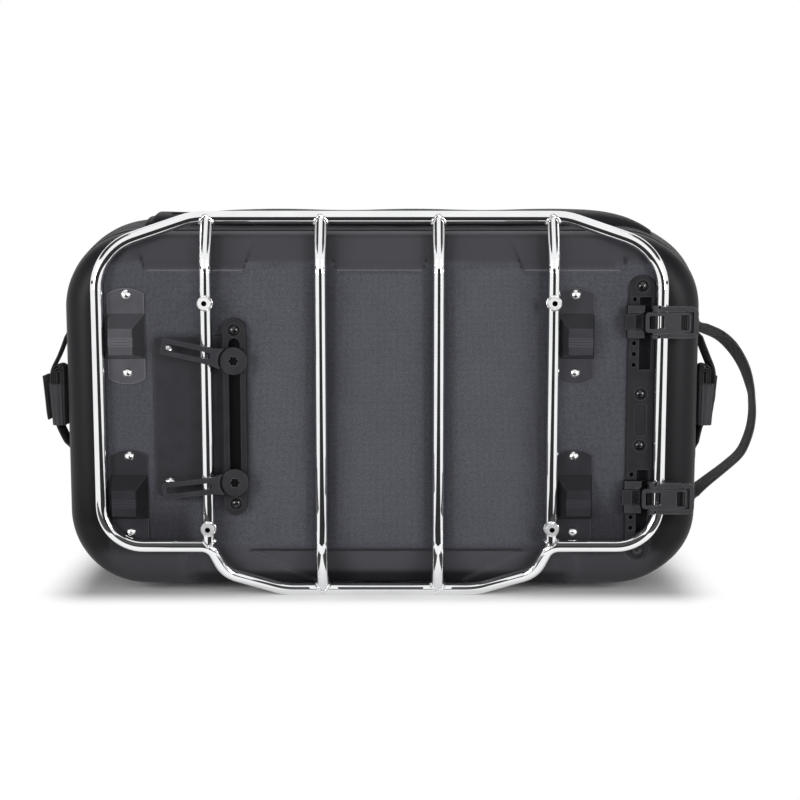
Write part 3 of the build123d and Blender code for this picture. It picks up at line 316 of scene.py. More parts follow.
def low_lip(x, z):
    """1 in the three bays where the top scoop starts low, behind a lip; 0 over the outer pads."""
    lean = (z - 152.0) * 0.34
    flare = np.maximum(z - LIP_Z, 0) * LIP_FLARE
    left = smoothstep(-238.5, -235.0, x + flare) * smoothstep(-134.8, -137.0, x - lean)
    middle = smoothstep(-46.2, -44.0, x + lean) * smoothstep(46.2, 44.0, x - lean)
    right = smoothstep(141.0, 143.2, x + lean) * smoothstep(246.5, 243.0, x - flare)
    return np.clip(left + middle + right, 0, 1)


def bottom_bay(x, z):
    """1 inside the deep middle of the bottom scoop, whose ends run in towards the bottom run."""
    down = np.maximum(-143.0 - z, 0)
    left = -133.0 + down * 1.86
    right = 146.0 - down * 1.7
    across = smoothstep(left - 3, left + 3, x) * smoothstep(right + 3, right - 3, x)
    return across * smoothstep(PAD_LOW_Z + 0.8, PAD_LOW_Z - 4.5, z)


INDEX_END_R = 12.0
INDEX_MID = (index_low + index_high) / 2
INDEX_HALF = (index_high - index_low) / 2


def index_gap(x, z):
    """Distance from the index rail's outline, negative inside it."""
    qx = np.abs(x - INDEX_MID.x) - INDEX_HALF.x + INDEX_END_R
    qz = np.abs(z - INDEX_MID.z) - INDEX_HALF.z + INDEX_END_R
    return np.hypot(np.maximum(qx, 0), np.maximum(qz, 0)) + np.minimum(np.maximum(qx, qz), 0) - INDEX_END_R


def recess(x, z):
    """Seats for the wear panel and the index rail."""
    left, right = panel_low.x, panel_high.x
    down, up = panel_low.z, panel_high.z
    gap = np.maximum(np.maximum(left - x, x - right), np.maximum(down - z, z - up))
    seat = 1.75 * smoothstep(2.4, 0.4, gap)
    return seat + 3.4 * smoothstep(-1.4, -3.4, index_gap(x, z))


def base_front(x, z):
    """Depth of the base's outer face."""
    d = inset_of(x, z)
    t = np.clip(EDGE_R - d, 0, EDGE_R)
    edge = EDGE_R - np.sqrt(np.maximum(EDGE_R**2 - t**2, 0))
    low = low_lip(x, z)
    flare = np.maximum(z - LIP_Z, 0) * LIP_FLARE
    ends = smoothstep(-262, -238, x + flare) * smoothstep(270, 246, x - flare)
    stepped = 2.6 * smoothstep(LIP_Z, LIP_Z + 9.0, z) + np.maximum(z - 154.5, 0) * 0.345
    plain = np.maximum(z - PAD_TOP_Z, 0) * 0.4935
    top = (stepped * low + plain * (1 - low)) * ends - 6.0 * (1 - ends)
    ends = smoothstep(214, 186, np.abs(x))
    belly = np.maximum((-133.0 - z) * 0.532, -6.0) * ends - 6.0 * (1 - ends)
    y = soft_max(edge, top, 1.4)
    y = soft_max(y, belly, 2.2) + 3.6 * bottom_bay(x, z)
    rise = np.zeros_like(y)
    for left, right in PADS:
        across = smoothstep(left, left + SHOULDER, x) * smoothstep(right, right - SHOULDER, x)
        rise = np.maximum(rise, across)
    crown = smoothstep(LIP_Z + 2.0, LIP_Z - 4.0, z) * low + smoothstep(PAD_TOP_Z + 1.0, 149.0, z) * (1 - low)
    rise *= crown * smoothstep(PAD_LOW_Z - 5.0, PAD_LOW_Z + 7.0, z)
    under = np.exp(-((np.abs(x) - INNER_BAR) / CHANNEL_HALF) ** 2)
    under *= smoothstep(LIP_Z, 120.0, z) * smoothstep(PAD_LOW_Z, -110.0, z)
    return FACE + y - PAD_RISE * rise + CHANNEL_SINK * under + recess(x, z)


def woven(x, z):
    """1 where the shell is faced with cloth, 0 on the smooth welded border and scoops."""
    far = np.abs(x)
    pad_top = PAD_TOP_Z - 0.5 - (PAD_TOP_Z - LIP_Z - 2.0) * low_lip(x, z)
    top = np.where(far > FIELD_X, FIELD_TOP_Z, pad_top)
    inside = smoothstep(279.5, 277.5, far) * smoothstep(top + 0.8, top - 0.8, z)
    ends = np.where(far > FIELD_X, smoothstep(FIELD_TOP_Z, FIELD_TOP_Z - 10.0, z), 1.0)
    return inside * ends * smoothstep(PAD_LOW_Z - 4.0, PAD_LOW_Z + 2.0, z)


SHELL_MERGE = 1.2e-4
INNERMOST = CORNER_R - 0.05
EDGE_INSETS = [0.0, 0.5, 1.4, 2.8, 4.6, 7.0, 9.6, 12.4]


def shell(name, sides, insets, depth, material, body, replaces, wall):
    """A tray: its rim at the depths in sides, rings at insets from the rim, and a grid over the middle."""
    rings = [(rim, np.full(len(rim), y)) for y in sides]
    for inset in EDGE_INSETS + insets:
        pts = outline(inset)
        rings.append((pts, depth(pts[:, 0], pts[:, 1])))
    verts = [(p[0], y, p[1]) for pts, ys in rings for p, y in zip(pts, ys)]
    faces = grid_faces(len(rings), len(rim), wrap_cols=True)
    start = len(verts)
    xs = np.linspace(-HALF_W + CORNER_R, HALF_W - CORNER_R, PER_LONG + 1)
    zs = np.linspace(TOP_Z - CORNER_R, BOTTOM_Z + CORNER_R, PER_SHORT + 1)
    gx, gz = np.meshgrid(xs, zs)
    gy = depth(gx.ravel(), gz.ravel())
    verts += list(zip(gx.ravel(), gy, gz.ravel()))
    faces += grid_faces(PER_SHORT + 1, PER_LONG + 1, start=start)
    obj = tidy_normals(add_object(name, full_right(verts), faces, material, body), SHELL_MERGE)
    thicken(obj, wall)
    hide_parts(replaces)
    return obj


# Materials


class Nodes:
    """Short forms for building a node tree."""

    def __init__(self, name):
        self.material = bpy.data.materials.new(name)
        self.material.use_nodes = True
        self.tree = self.material.node_tree
        self.shader = self.tree.nodes["Principled BSDF"]
        self.coord = self.tree.nodes.new("ShaderNodeTexCoord").outputs["Object"]

    def feed(self, socket, value):
        """Gives a socket a colour or a number, or links another node's output to it."""
        if isinstance(value, tuple):
            socket.default_value = (*value, 1.0)
        elif isinstance(value, (int, float)):
            socket.default_value = value
        else:
            self.tree.links.new(value, socket)

    def add(self, kind, inputs=None, **settings):
        node = self.tree.nodes.new(kind)
        for key, value in settings.items():
            setattr(node, key, value)
        for key, value in (inputs or {}).items():
            self.feed(node.inputs[key], value)
        return node

    def math(self, operation, *values):
        return self.add("ShaderNodeMath", dict(enumerate(values)), operation=operation).outputs[0]

    def parts(self, vector):
        return self.add("ShaderNodeSeparateXYZ", {0: vector}).outputs

    def axes(self):
        return self.parts(self.coord)

    def stored(self, label):
        return self.add("ShaderNodeAttribute", attribute_name=label).outputs["Fac"]

    def noise(self, scale, detail=3.0, rough=0.55):
        inputs = {"Vector": self.coord, "Scale": scale, "Detail": detail, "Roughness": rough}
        return self.add("ShaderNodeTexNoise", inputs).outputs["Fac"]

    def ramp(self, value, low, high, a, b, curve="LINEAR"):
        inputs = {"Value": value, "From Min": low, "From Max": high, "To Min": a, "To Max": b}
        return self.add("ShaderNodeMapRange", inputs, interpolation_type=curve).outputs["Result"]

    def mix(self, factor, a, b):
        node = self.add("ShaderNodeMix", {"Factor": factor}, data_type="RGBA")
        for name, value in (("A", a), ("B", b)):
            self.feed([s for s in node.inputs if s.name == name and s.type == "RGBA"][0], value)
        return [s for s in node.outputs if s.type == "RGBA"][0]

    def bump(self, height, distance, strength):
        inputs = {"Height": height, "Distance": distance, "Strength": strength}
        return self.add("ShaderNodeBump", inputs).outputs["Normal"]

    def set(self, **values):
        for key, value in values.items():
            self.feed(self.shader.inputs[key.replace("_", " ")], value)
        return self.material

    def surface(self, node):
        """Shows a node in place of the plain shader."""
        self.feed(self.tree.nodes["Material Output"].inputs["Surface"], node.outputs[0])
        return self.material


def srgb(*values):
    return tuple(v / 255 / 12.92 if v < 11 else ((v / 255 + 0.055) / 1.055) ** 2.4 for v in values)


def tint(colour, share):
    return tuple(c * share for c in colour)


def chrome_material(name, colour, rough):
    n = Nodes(name)
    haze = n.noise(38.0, 4.0)
    fine = n.noise(900.0, 2.0)
    return n.set(
        Base_Color=n.mix(n.ramp(haze, 0.35, 0.7, 0, 1), colour, tint(colour, 0.94)),
        Metallic=1.0,
        Roughness=n.ramp(haze, 0.3, 0.75, rough, rough + 0.03),
        Normal=n.bump(fine, 0.00002, 0.12),
    )


EDGE_WEAR_AND_HIGHLIGHT_REACH = 0.0011
EDGE_SAMPLES = 4


def plastic_material(name, colour, rough, grain=1500.0, depth=0.00006, gloss=0.1, recess_shade_from=None, under=None,
                     slope_shade=False):
    """Moulded plastic: fine spark-eroded grain, paler along its convex edges, partly as edge wear and partly
    as painted highlight.

    It takes painted shade deeper than a given depth, within a half width of a given line, and, when asked,
    on faces turned to the side or upward.
    """
    n = Nodes(name)
    patch = n.noise(55.0, 4.0)
    fine = n.noise(grain, 2.0, 0.6)
    # Convex edges, found by occlusion inside the solid, are painted paler: partly edge wear, partly painted
    # highlight where light would catch them.
    edge = n.add("ShaderNodeAmbientOcclusion", {"Distance": EDGE_WEAR_AND_HIGHLIGHT_REACH},
                 samples=EDGE_SAMPLES, inside=True, only_local=True)
    edge_wear_and_highlight = n.ramp(edge.outputs["AO"], 0.93, 0.6, 0.0, 0.9)
    worn_and_highlit = tuple(c * 2.2 + 0.008 for c in colour)
    shadow = tint(colour, 0.12)
    body = n.mix(n.ramp(patch, 0.3, 0.7, 0, 1), tint(colour, 0.86), tint(colour, 1.1))
    # Painted shade by facing: faces turned to the side, and faces turned up, are mixed towards the shadow
    # tone.
    if slope_shade:
        facing = n.parts(n.add("ShaderNodeNewGeometry").outputs["Normal"])
        body = n.mix(n.ramp(n.math("ABSOLUTE", facing[0]), 0.25, 0.5, 0.0, 0.7), body, shadow)
        body = n.mix(n.ramp(facing[2], 0.25, 0.5, 0.0, 0.3), body, shadow)
    body = n.mix(edge_wear_and_highlight, body, worn_and_highlit)
    # Painted shade in recesses: all that lies deeper than the given depth is mixed towards the shadow tone.
    if recess_shade_from:
        deep = n.ramp(n.axes()[1], recess_shade_from * MM, (recess_shade_from + 2.0) * MM, 0.0, 1.0)
        body = n.mix(deep, body, shadow)
    # Painted shadow along a line: a band of the given half width is mixed towards the shadow tone.
    if under:
        mid, half = under
        aside = n.math("ABSOLUTE", n.math("SUBTRACT", n.axes()[0], mid * MM))
        body = n.mix(n.ramp(aside, (half - 1.0) * MM, half * MM, 1.0, 0.0), body, shadow)
    return n.set(
        Base_Color=body,
        Specular_IOR_Level=gloss,
        Roughness=n.ramp(patch, 0.25, 0.8, rough - 0.06, rough + 0.08),
        Normal=n.bump(fine, depth, 0.5),
    )


def weave_height(n, pitch, u, v):
    """Over-and-under threads from two directions."""
    k = 2 * math.pi / pitch
    a = n.math("SINE", n.math("MULTIPLY", u, k))
    b = n.math("SINE", n.math("MULTIPLY", v, k))
    return n.math("MULTIPLY", a, b)


def cloth_material(name, dark, light, pitch, rough=0.82, plane="xz"):
    """Plain weave, its threads slanted over X and Z, or along and across a strip."""
    n = Nodes(name)
    x, y, z = n.axes()
    if plane == "xz":
        u, v = n.math("ADD", x, z), n.math("SUBTRACT", x, z)
    elif plane == "run":
        u, v = y, n.stored("run")
    else:
        u, v = y, n.math("ADD", x, z)
    height = weave_height(n, pitch, u, v)
    patch = n.noise(26.0, 4.0)
    lint = n.noise(1100.0, 2.0)
    thread = n.ramp(height, -0.9, 0.9, 0.0, 1.0)
    shade = n.math("ADD", n.math("MULTIPLY", thread, 0.7), n.math("MULTIPLY", patch, 0.3))
    raised = n.math("ADD", height, n.math("MULTIPLY", lint, 0.5))
    return n.set(
        Base_Color=n.mix(shade, dark, light),
        Specular_IOR_Level=0.12,
        Roughness=rough,
        Sheen_Weight=0.12,
        Sheen_Roughness=0.45,
        Normal=n.bump(raised, 0.00022, 0.6),
    )


def base_material():
    """Woven cloth in the middle, a smooth welded border and smooth scoops round it."""
    n = Nodes("base_cloth")
    x, _, z = n.axes()
    mask = n.stored("woven")
    height = weave_height(n, 0.0024, n.math("ADD", x, z), n.math("SUBTRACT", x, z))
    patch = n.noise(22.0, 5.0)
    lint = n.noise(1300.0, 2.0)
    mottle = n.ramp(n.noise(620.0, 2.0), 0.36, 0.64, 0.0, 1.0)
    thread = n.ramp(height, -0.9, 0.9, 0.0, 1.0)
    shade = n.math("ADD", n.math("MULTIPLY", thread, 0.62), n.math("MULTIPLY", patch, 0.16))
    shade = n.math("ADD", shade, n.math("MULTIPLY", mottle, 0.22))
    cloth = n.mix(shade, srgb(33, 33, 37), srgb(102, 103, 111))
    # The smooth border turns paler by the stored scoop tone: painted light on the top scoop and belly.
    border = n.mix(n.stored("scoop"), srgb(23, 22, 25), srgb(74, 73, 78))
    relief = n.math("MULTIPLY", n.math("ADD", height, n.math("MULTIPLY", lint, 0.6)), mask)
    skin = n.math("MULTIPLY", mottle, 0.1)
    return n.set(
        # Near black is mixed in by the stored shade tone: painted shade and painted shadow.
        Base_Color=n.mix(n.stored("painted_shade"), n.mix(mask, border, cloth), srgb(8, 8, 9)),
        Specular_IOR_Level=0.16,
        Roughness=n.ramp(mask, 0.0, 1.0, 0.46, 0.85),
        Normal=n.bump(n.math("ADD", relief, skin), 0.00026, 0.7),
    )


def web_material(name, dark, light):
    """Ribbed strap webbing: chevron threads across, fine cords along."""
    n = Nodes(name)
    x, y, z = n.axes()
    along = n.math("ADD", x, z)
    slant = n.math("ADD", along, n.math("MULTIPLY", y, 0.8))
    ribs = n.math("SINE", n.math("MULTIPLY", slant, 2 * math.pi / 0.0021))
    cords = n.math("SINE", n.math("MULTIPLY", y, 2 * math.pi / 0.0024))
    height = n.math("ADD", ribs, n.math("MULTIPLY", cords, 0.7))
    patch = n.noise(60.0, 3.0)
    shade = n.math("ADD", n.ramp(height, -1.4, 1.4, 0.0, 0.75), n.math("MULTIPLY", patch, 0.25))
    return n.set(
        Base_Color=n.mix(shade, dark, light),
        Roughness=0.72,
        Sheen_Weight=0.1,
        Sheen_Roughness=0.4,
        Normal=n.bump(height, 0.00025, 0.8),
    )


CHROME = chrome_material("mirror_chrome", (0.9, 0.905, 0.915), 0.03)
RIVET = chrome_material("polished_rivet", (0.8, 0.8, 0.81), 0.2)
STEEL = chrome_material("satin_steel", (0.62, 0.62, 0.63), 0.26)
FACED = chrome_material("faced_chrome", (0.88, 0.88, 0.89), 0.5)
WELD = chrome_material("weld_bead", (0.86, 0.86, 0.87), 0.2)
MOULDING = plastic_material("moulding_black", srgb(40, 40, 43), 0.4)
slot_low, slot_high = limits("slotted_bar")
# The slot's floor is darkened as painted shadow.
SLOTTED = plastic_material("slotted_bar_black", srgb(41, 41, 44), 0.4, recess_shade_from=slot_low.y + 0.6)
# The four feet are one moulding; their tones are painted light and shade, with the upper left lit and the
# others shaded, and their side and top faces take painted shade too.
PAINTED_LIGHT_FEET = {
    f"foot_{place}": plastic_material(f"foot_{place}_black", srgb(tone, tone, tone + 4), 0.5, slope_shade=True)
    for place, tone in (("upper_left", 75), ("lower_left", 42), ("upper_right", 54), ("lower_right", 42))
}
LATCH = plastic_material("latch_black", srgb(55, 55, 58), 0.38, gloss=0.14)
carriage_y = limits("upper_carriage")[0].y
# The carriage is darkened deeper than 9 mm behind its front, as painted shade.
CARRIAGE = plastic_material("carriage_black", srgb(52, 52, 55), 0.38, gloss=0.12, recess_shade_from=carriage_y + 9.0)
ARM = plastic_material("arm_black", srgb(49, 49, 53), 0.38, gloss=0.14)
PANEL = plastic_material("stiffener_black", srgb(47, 46, 50), 0.5, 900.0, 0.00005)
slot_mid = (slot_low.x + slot_high.x) / 2
# The panel is darkened in a band behind the slot, as painted shadow.
WEAR = plastic_material("wear_panel_black", srgb(47, 46, 50), 0.5, 900.0, 0.00005, under=(slot_mid, 7.5))
DARK_GLOSS = plastic_material("black_oxide", srgb(14, 14, 15), 0.12, 2200.0, 0.00001, gloss=0.6)
bolt_y = limits("upper_clamp_bolt")[0].y
# The bolt is darkened behind its front face, as painted shade.
BOLT = plastic_material("bolt_black", srgb(48, 48, 51), 0.36, 2000.0, 0.00003, gloss=0.12,
                        recess_shade_from=bolt_y + 0.7)
SPRING = plastic_material("spring_black", srgb(9, 9, 10), 0.3, 2000.0, 0.00002)
RUBBER = plastic_material("piping_black", srgb(20, 20, 22), 0.16, 700.0, 0.00003, gloss=0.6)
ZIP_METAL = plastic_material("zip_black", srgb(24, 24, 26), 0.3, 2200.0, 0.00002)
BASE = base_material()
WALL = cloth_material("wall_cloth", srgb(32, 32, 35), srgb(72, 72, 77), 0.0026, plane="run")
LID = cloth_material("lid_cloth", srgb(34, 34, 37), srgb(74, 74, 79), 0.0026)
POCKET = cloth_material("pocket_cloth", srgb(20, 20, 22), srgb(47, 47, 50), 0.0019, plane="y")
TAPE = cloth_material("zip_tape_cloth", srgb(18, 18, 20), srgb(34, 34, 36), 0.0012, plane="y")
WRAP = cloth_material("keeper_cloth", srgb(38, 38, 40), srgb(86, 86, 90), 0.0016, plane="y")
WEB = web_material("webbing", srgb(18, 18, 19), srgb(44, 44, 46))
HANDLE_WEB = web_material("handle_webbing", srgb(26, 26, 28), srgb(74, 74, 77))
CORD = cloth_material("lip_cord_cloth", srgb(70, 70, 75), srgb(128, 128, 136), 0.0008, rough=0.7)
THREAD = cloth_material("thread", srgb(30, 30, 32), srgb(58, 58, 60), 0.0008, rough=0.6)

# Solids that show as they are, by their names or by how these end

finish = {
    "perimeter_rail": CHROME, "mounting_bosses": FACED, "base_stiffener": PANEL, "wear_panel": WEAR,
    "foot_rivets": RIVET, "panel_rivets": RIVET, "rivet_washers": STEEL, "slotted_bar_rivets": DARK_GLOSS,
    "index_rail_rivets": DARK_GLOSS, "slotted_bar": SLOTTED, "index_rail": MOULDING, **PAINTED_LIGHT_FEET,
    **{f"cross_bar_{k}": CHROME for k in (1, 2, 3, 4)},
}
finish_by_end = {
    "pin": DARK_GLOSS, "nut": STEEL, "arm": ARM, "bolt": BOLT, "slider": ZIP_METAL, "pull": ZIP_METAL,
    "catch": MOULDING, "carriage": CARRIAGE, "gate": LATCH, "lever": LATCH,
}
for name, obj in nodes.items():
    obj.data.materials.clear()
    obj.data.materials.append(finish.get(name) or finish_by_end.get(name.split("_")[-1], WALL))

# Base shell

sides = (BASE_BACK, BASE_BACK - 3.5)
insets = [14.4, 16.4, 18.4, 20.4, 22.4, 24.4, 26.4] + [28.0 + k for k in range(17)]
insets += [46.0, 48.5, 51.5, 55.0, 60.0, 66.0, 72.0, INNERMOST]
base = shell("base_shell", sides, insets, base_front, BASE, ROOT, "base_tray", 3.2)

# Shade in the cloth beside each bar: where it lies, how wide and how deep it is
BAR_SHADES = (
    (INNER_BAR, 18.0, 0.36), (6.0 - INNER_BAR, 20.0, 0.42),
    (OUTER_BAR - 12.0, 20.0, 0.36), (12.0 - OUTER_BAR, 20.0, 0.36),
)


def base_tones(x, y, z):
    """Where the base is woven, how pale its smooth scoops are as painted light, and how deep the painted
    shade on it is.
    """
    far = np.abs(x)
    cover = woven(x, z) * (y < FACE + 6.0)
    middle = smoothstep(215.0, 180.0, far)
    # Pale tone for the belly and bottom border: painted light, cut back near the bottom edge in the middle
    # as painted shade.
    foot = 0.42 * smoothstep(300.0, 270.0, far) + 0.5 * middle
    foot *= 1 - 0.85 * smoothstep(-163.0, -171.0, z) * middle
    # The top scoop is painted pale, as painted light from above; below the pads, the belly tone above is
    # used.
    scoop = 0.7 * smoothstep(140.0, 150.0, z) * smoothstep(300.0, 240.0, far)
    scoop += foot * smoothstep(-132.0, -142.0, z)
    # Painted shadow of each bar on the cloth beside it.
    near_bar = sum(deep * np.exp(-((x - mid) / wide) ** 2) for mid, wide, deep in BAR_SHADES)
    # Painted shade over the outer fields, deeper low down.
    flank = smoothstep(182.0, 202.0, far) * (0.18 + 0.5 * smoothstep(-70.0, -115.0, z))
    flank *= smoothstep(-146.0, -138.0, z)
    lip = low_lip(x, z)
    bay = bottom_bay(x, z)
    # Painted shade along the creases at the edges of the low top bays and round the deep bottom bay.
    crease = 3.2 * lip * (1 - lip) * smoothstep(146.0, 150.0, z) * smoothstep(166.0, 158.0, z)
    crease += 2.0 * bay * (1 - bay) * smoothstep(-172.0, -164.0, z)
    # Painted shade on the cloth behind the index rail, which shows through its windows.
    behind_rail = 0.92 * (index_gap(x, z) < -1.0)
    # The darkest of these painted shades at each point.
    painted_shade = np.maximum.reduce([near_bar, flank, crease, behind_rail])
    return {"woven": cover, "scoop": scoop, "painted_shade": painted_shade}


def store(obj, label, values):
    """Keeps a number at each vertex for the materials."""
    obj.data.attributes.new(label, "FLOAT", "POINT").data.foreach_set("value", values.astype(np.float32))


spots = np.array([v.co for v in base.data.vertices]) / MM
for label, values in base_tones(*spots.T).items():
    store(base, label, values)

# Corded edge of the cloth along the lip of each low bay


def lip_cord(name, left, right):
    """A beaded cord along the lip, between two places across."""
    xs = np.arange(left, right, 0.75)
    ys = base_front(xs, np.full(len(xs), LIP_Z))
    line = np.column_stack([xs, ys + 0.1, np.full(len(xs), LIP_Z)])
    cord = tube(name, line, 0.75 + 0.25 * np.sin(2 * np.pi * xs / 3.0), 8, CORD)


for number, (left, right) in enumerate(((-234.0, -138.0), (-43.0, 43.0), (145.0, 242.0)), 1):
    lip_cord(f"lip_cord_{number}", left, right)

# Wall


def loop(grow, y):
    """The bag's outline at a depth, grown by some millimetres."""
    pts = outline(-grow)
    return np.column_stack([pts[:, 0], np.full(len(pts), y), pts[:, 1]])


def swell(y):
    """How far the wall stands out of the outline at a depth."""
    s = 2 * (y - WALL_FRONT) / (WALL_BACK - WALL_FRONT) - 1
    return BULGE * (1 - s * s)


def side_wall(sign, y):
    """Where the wall's side stands at a depth, on the left (-1) or the right (1)."""
    x = HALF_W + swell(y)
    return abs(full_right([(sign * x, y, 0.0)])[0, 0])


WALL_STEPS = 26
verts = []
for t in np.linspace(0, 1, WALL_STEPS):
    y = WALL_FRONT + (WALL_BACK - WALL_FRONT) * t
    co = loop(swell(y), y)
    soft = ripple(co, 46.0, 3) * 0.9 + ripple(co, 17.0, 4) * 0.25
    out = co - np.array([0, 0, MID_Z])
    out[:, 1] = 0
    co = co + unit(out) * ((1 - (2 * t - 1) ** 6) * soft - 0.5)[:, None]
    co[:, 2] = np.maximum(co[:, 2], FLOOR_Z + 0.05)
    verts += list(co)
faces = grid_faces(WALL_STEPS, len(rim), wrap_cols=True)
wall = tidy_normals(add_object("wall_cloth_shell", full_right(verts), faces, WALL))
steps = np.hypot(*np.diff(rim, axis=0).T)
run = np.tile(np.concatenate([[0.0], np.cumsum(steps)]) * MM, WALL_STEPS)
store(wall, "run", run)
thicken(wall, 4.0)
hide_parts("body_wall")

# Piping and zip

bead_line = full_right(loop(0.5, (BASE_BACK + WALL_FRONT) / 2))
piping = tube("piping_bead", bead_line, 1.75, 10, RUBBER, closed=True)
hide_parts("piping")


ZIP_MID = WALL_BACK + 3.0
TOOTH_PITCH = 3.0


def zip_band():
    """Two woven tapes, drawn as one band that dips where they meet."""
    verts = []
    profile = ((-0.2, 0.5), (0.6, 0.9), (2.2, 0.7), (2.6, 0.2), (3.4, 0.2), (3.8, 0.7), (5.4, 0.9),
               (6.2, 0.5))
    for dy, grow in profile:
        verts += list(loop(grow - 0.35, WALL_BACK + dy))
    faces = grid_faces(len(profile), len(rim), wrap_cols=True)
    band = tidy_normals(add_object("zip_tape_band", verts, faces, TAPE))
    thicken(band, 2.0)
    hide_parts("zip_tape")


zip_band()


def zip_teeth():
    """Moulded teeth round the zip line, turn about on its two tapes."""
    line = loop(0.5, ZIP_MID)
    seg = np.linalg.norm(np.roll(line, -1, 0) - line, axis=1)
    total = seg.sum()
    stops = np.concatenate([[0], np.cumsum(seg)])
    verts = []
    faces = []
    number = int(total / TOOTH_PITCH)
    for k in range(number):
        s = total * k / number
        i = min(np.searchsorted(stops, s, side="right") - 1, len(seg) - 1)
        t = (s - stops[i]) / seg[i]
        p = line[i] * (1 - t) + line[(i + 1) % len(line)] * t
        along = (line[(i + 1) % len(line)] - line[i]) / seg[i]
        out = np.array([-along[2], 0, along[0]])
        side = 1 if k % 2 else -1
        centre = p + np.array([0, 0.75 * side, 0]) - out * 0.35
        start = len(verts)
        for a in (-0.95, 0.95):
            for b in (-1.25, 1.25):
                for c, shrink in ((-0.5, 1.0), (0.55, 0.7)):
                    verts.append(centre + along * a * shrink + np.array([0, b * shrink, 0]) + out * c)
        faces += [tuple(start + q for q in f) for f in (
            (0, 1, 3, 2), (4, 6, 7, 5), (0, 4, 5, 1), (2, 3, 7, 6), (0, 2, 6, 4), (1, 5, 7, 3))]
    teeth = add_object("zip_teeth", verts, faces, ZIP_METAL, smooth=False)
    tidy_normals(teeth)


zip_teeth()

# Lid


LID_SEAM = 46.0


def lid_back(x, z):
    """Depth of the lid's outer face: a rounded edge, a sewn groove and slack cloth inside it."""
    d = inset_of(x, z)
    t = np.clip(LID_EDGE_R - d, 0, LID_EDGE_R)
    edge = LID_EDGE_R - np.sqrt(np.maximum(LID_EDGE_R**2 - t**2, 0))
    groove = 1.1 * np.exp(-((d - LID_SEAM) / 2.2) ** 2)
    soft = 0.5 * np.sin(x / 61.0) * np.sin(z / 47.0) * smoothstep(30, 60, d)
    return LID_BACK - edge - groove - 0.6 + soft


sides = (LID_FRONT, LID_FRONT + 4.0, LID_FRONT + 9.0)
insets = [15.5, 18.8, 22.2, 25.6, 30.0, 34.0, 38.0, 41.0, 43.0, 44.6, LID_SEAM, 47.4, 49.0, 51.5, 56.0, 63.0,
          70.0, INNERMOST]
lid = shell("lid_shell", sides, insets, lid_back, LID, "lid", "lid", 3.6)

# Hinge tape along the wall's top edge

HINGE_HALF = 242.0
HINGE_DEPTH = 12.0
rows, cols = 7, 80
verts = []
for y in np.linspace(WALL_BACK - HINGE_DEPTH, WALL_BACK, rows):
    for x in np.linspace(-HINGE_HALF, HINGE_HALF, cols):
        verts.append((x, y, TOP_Z + swell(y) + 0.9 + 0.15 * math.sin(x / 9.0)))
tape = tidy_normals(add_object("hinge_tape_strip", verts, grid_faces(rows, cols), TAPE))
thicken(tape, 1.0)
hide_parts("hinge_tape")

# Pocket on the upper long side

pocket_low, pocket_high = limits("side_pocket")


def pocket():
    """A slack flat pouch: full along the middle, drawn in towards its ends."""
    cols, rows = 220, 34
    verts = []
    mid_y = (pocket_low.y + pocket_high.y) / 2
    half_y = (pocket_high.y - pocket_low.y) / 2
    first, last = pocket_low.x, max(pocket_high.x, 283.0)
    span = last - first
    for k in range(rows):
        a = math.pi * k / (rows - 1)
        across = -math.cos(a)
        crown = math.sin(a) ** 0.42
        y = mid_y + half_y * np.sign(across) * abs(across) ** 0.7
        for j in range(cols):
            x = first + span * j / (cols - 1)
            r = CORNER_R + swell(y)
            past = max(abs(x) - HALF_W + CORNER_R, 0.0)
            seat = TOP_Z - CORNER_R + math.sqrt(r * r - past * past) - 3.0
            # Two steps up at its left end, then a droop there and a run down at its right
            step = float(smoothstep(-247.5, -245.5, x)) * 0.6 + float(smoothstep(-238.5, -235.5, x)) * 0.4
            slack = 2.7 * float(smoothstep(-150.0, -215.0, x)) + 23.0 * max((x - 203.0) / 84.0, 0.0) ** 3
            lift = max(pocket_high.z - slack - seat, 0.0) * crown * step
            dent = 0.7 * math.sin(x / 23.0) * math.sin(a) * step * float(smoothstep(0.0, 6.0, lift))
            verts.append((x, y, seat + lift + dent - 0.9))
    obj = tidy_normals(add_object("pocket_pouch", verts, grid_faces(rows, cols), POCKET))
    thicken(obj, 1.5)
    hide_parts("side_pocket")
    line = []
    for j in range(80):
        u = 0.08 + 0.6 * j / 79
        line.append((first + span * u, pocket_low.y + 4.0, pocket_high.z - 5.2 + 0.5 * math.sin(j / 5.0)))
    binding = tube("pocket_binding", line, 1.1, 8, TAPE)


pocket()

# Carrying handle

WEB_WIDTH = 25.0
ANCHOR_Z = (92.0, -110.0)
ANCHOR_HALF = 15.0
HANDLE_Y = BAR_Y + 128.0
DEPTHWISE = np.array([0.0, 1.0, 0.0])


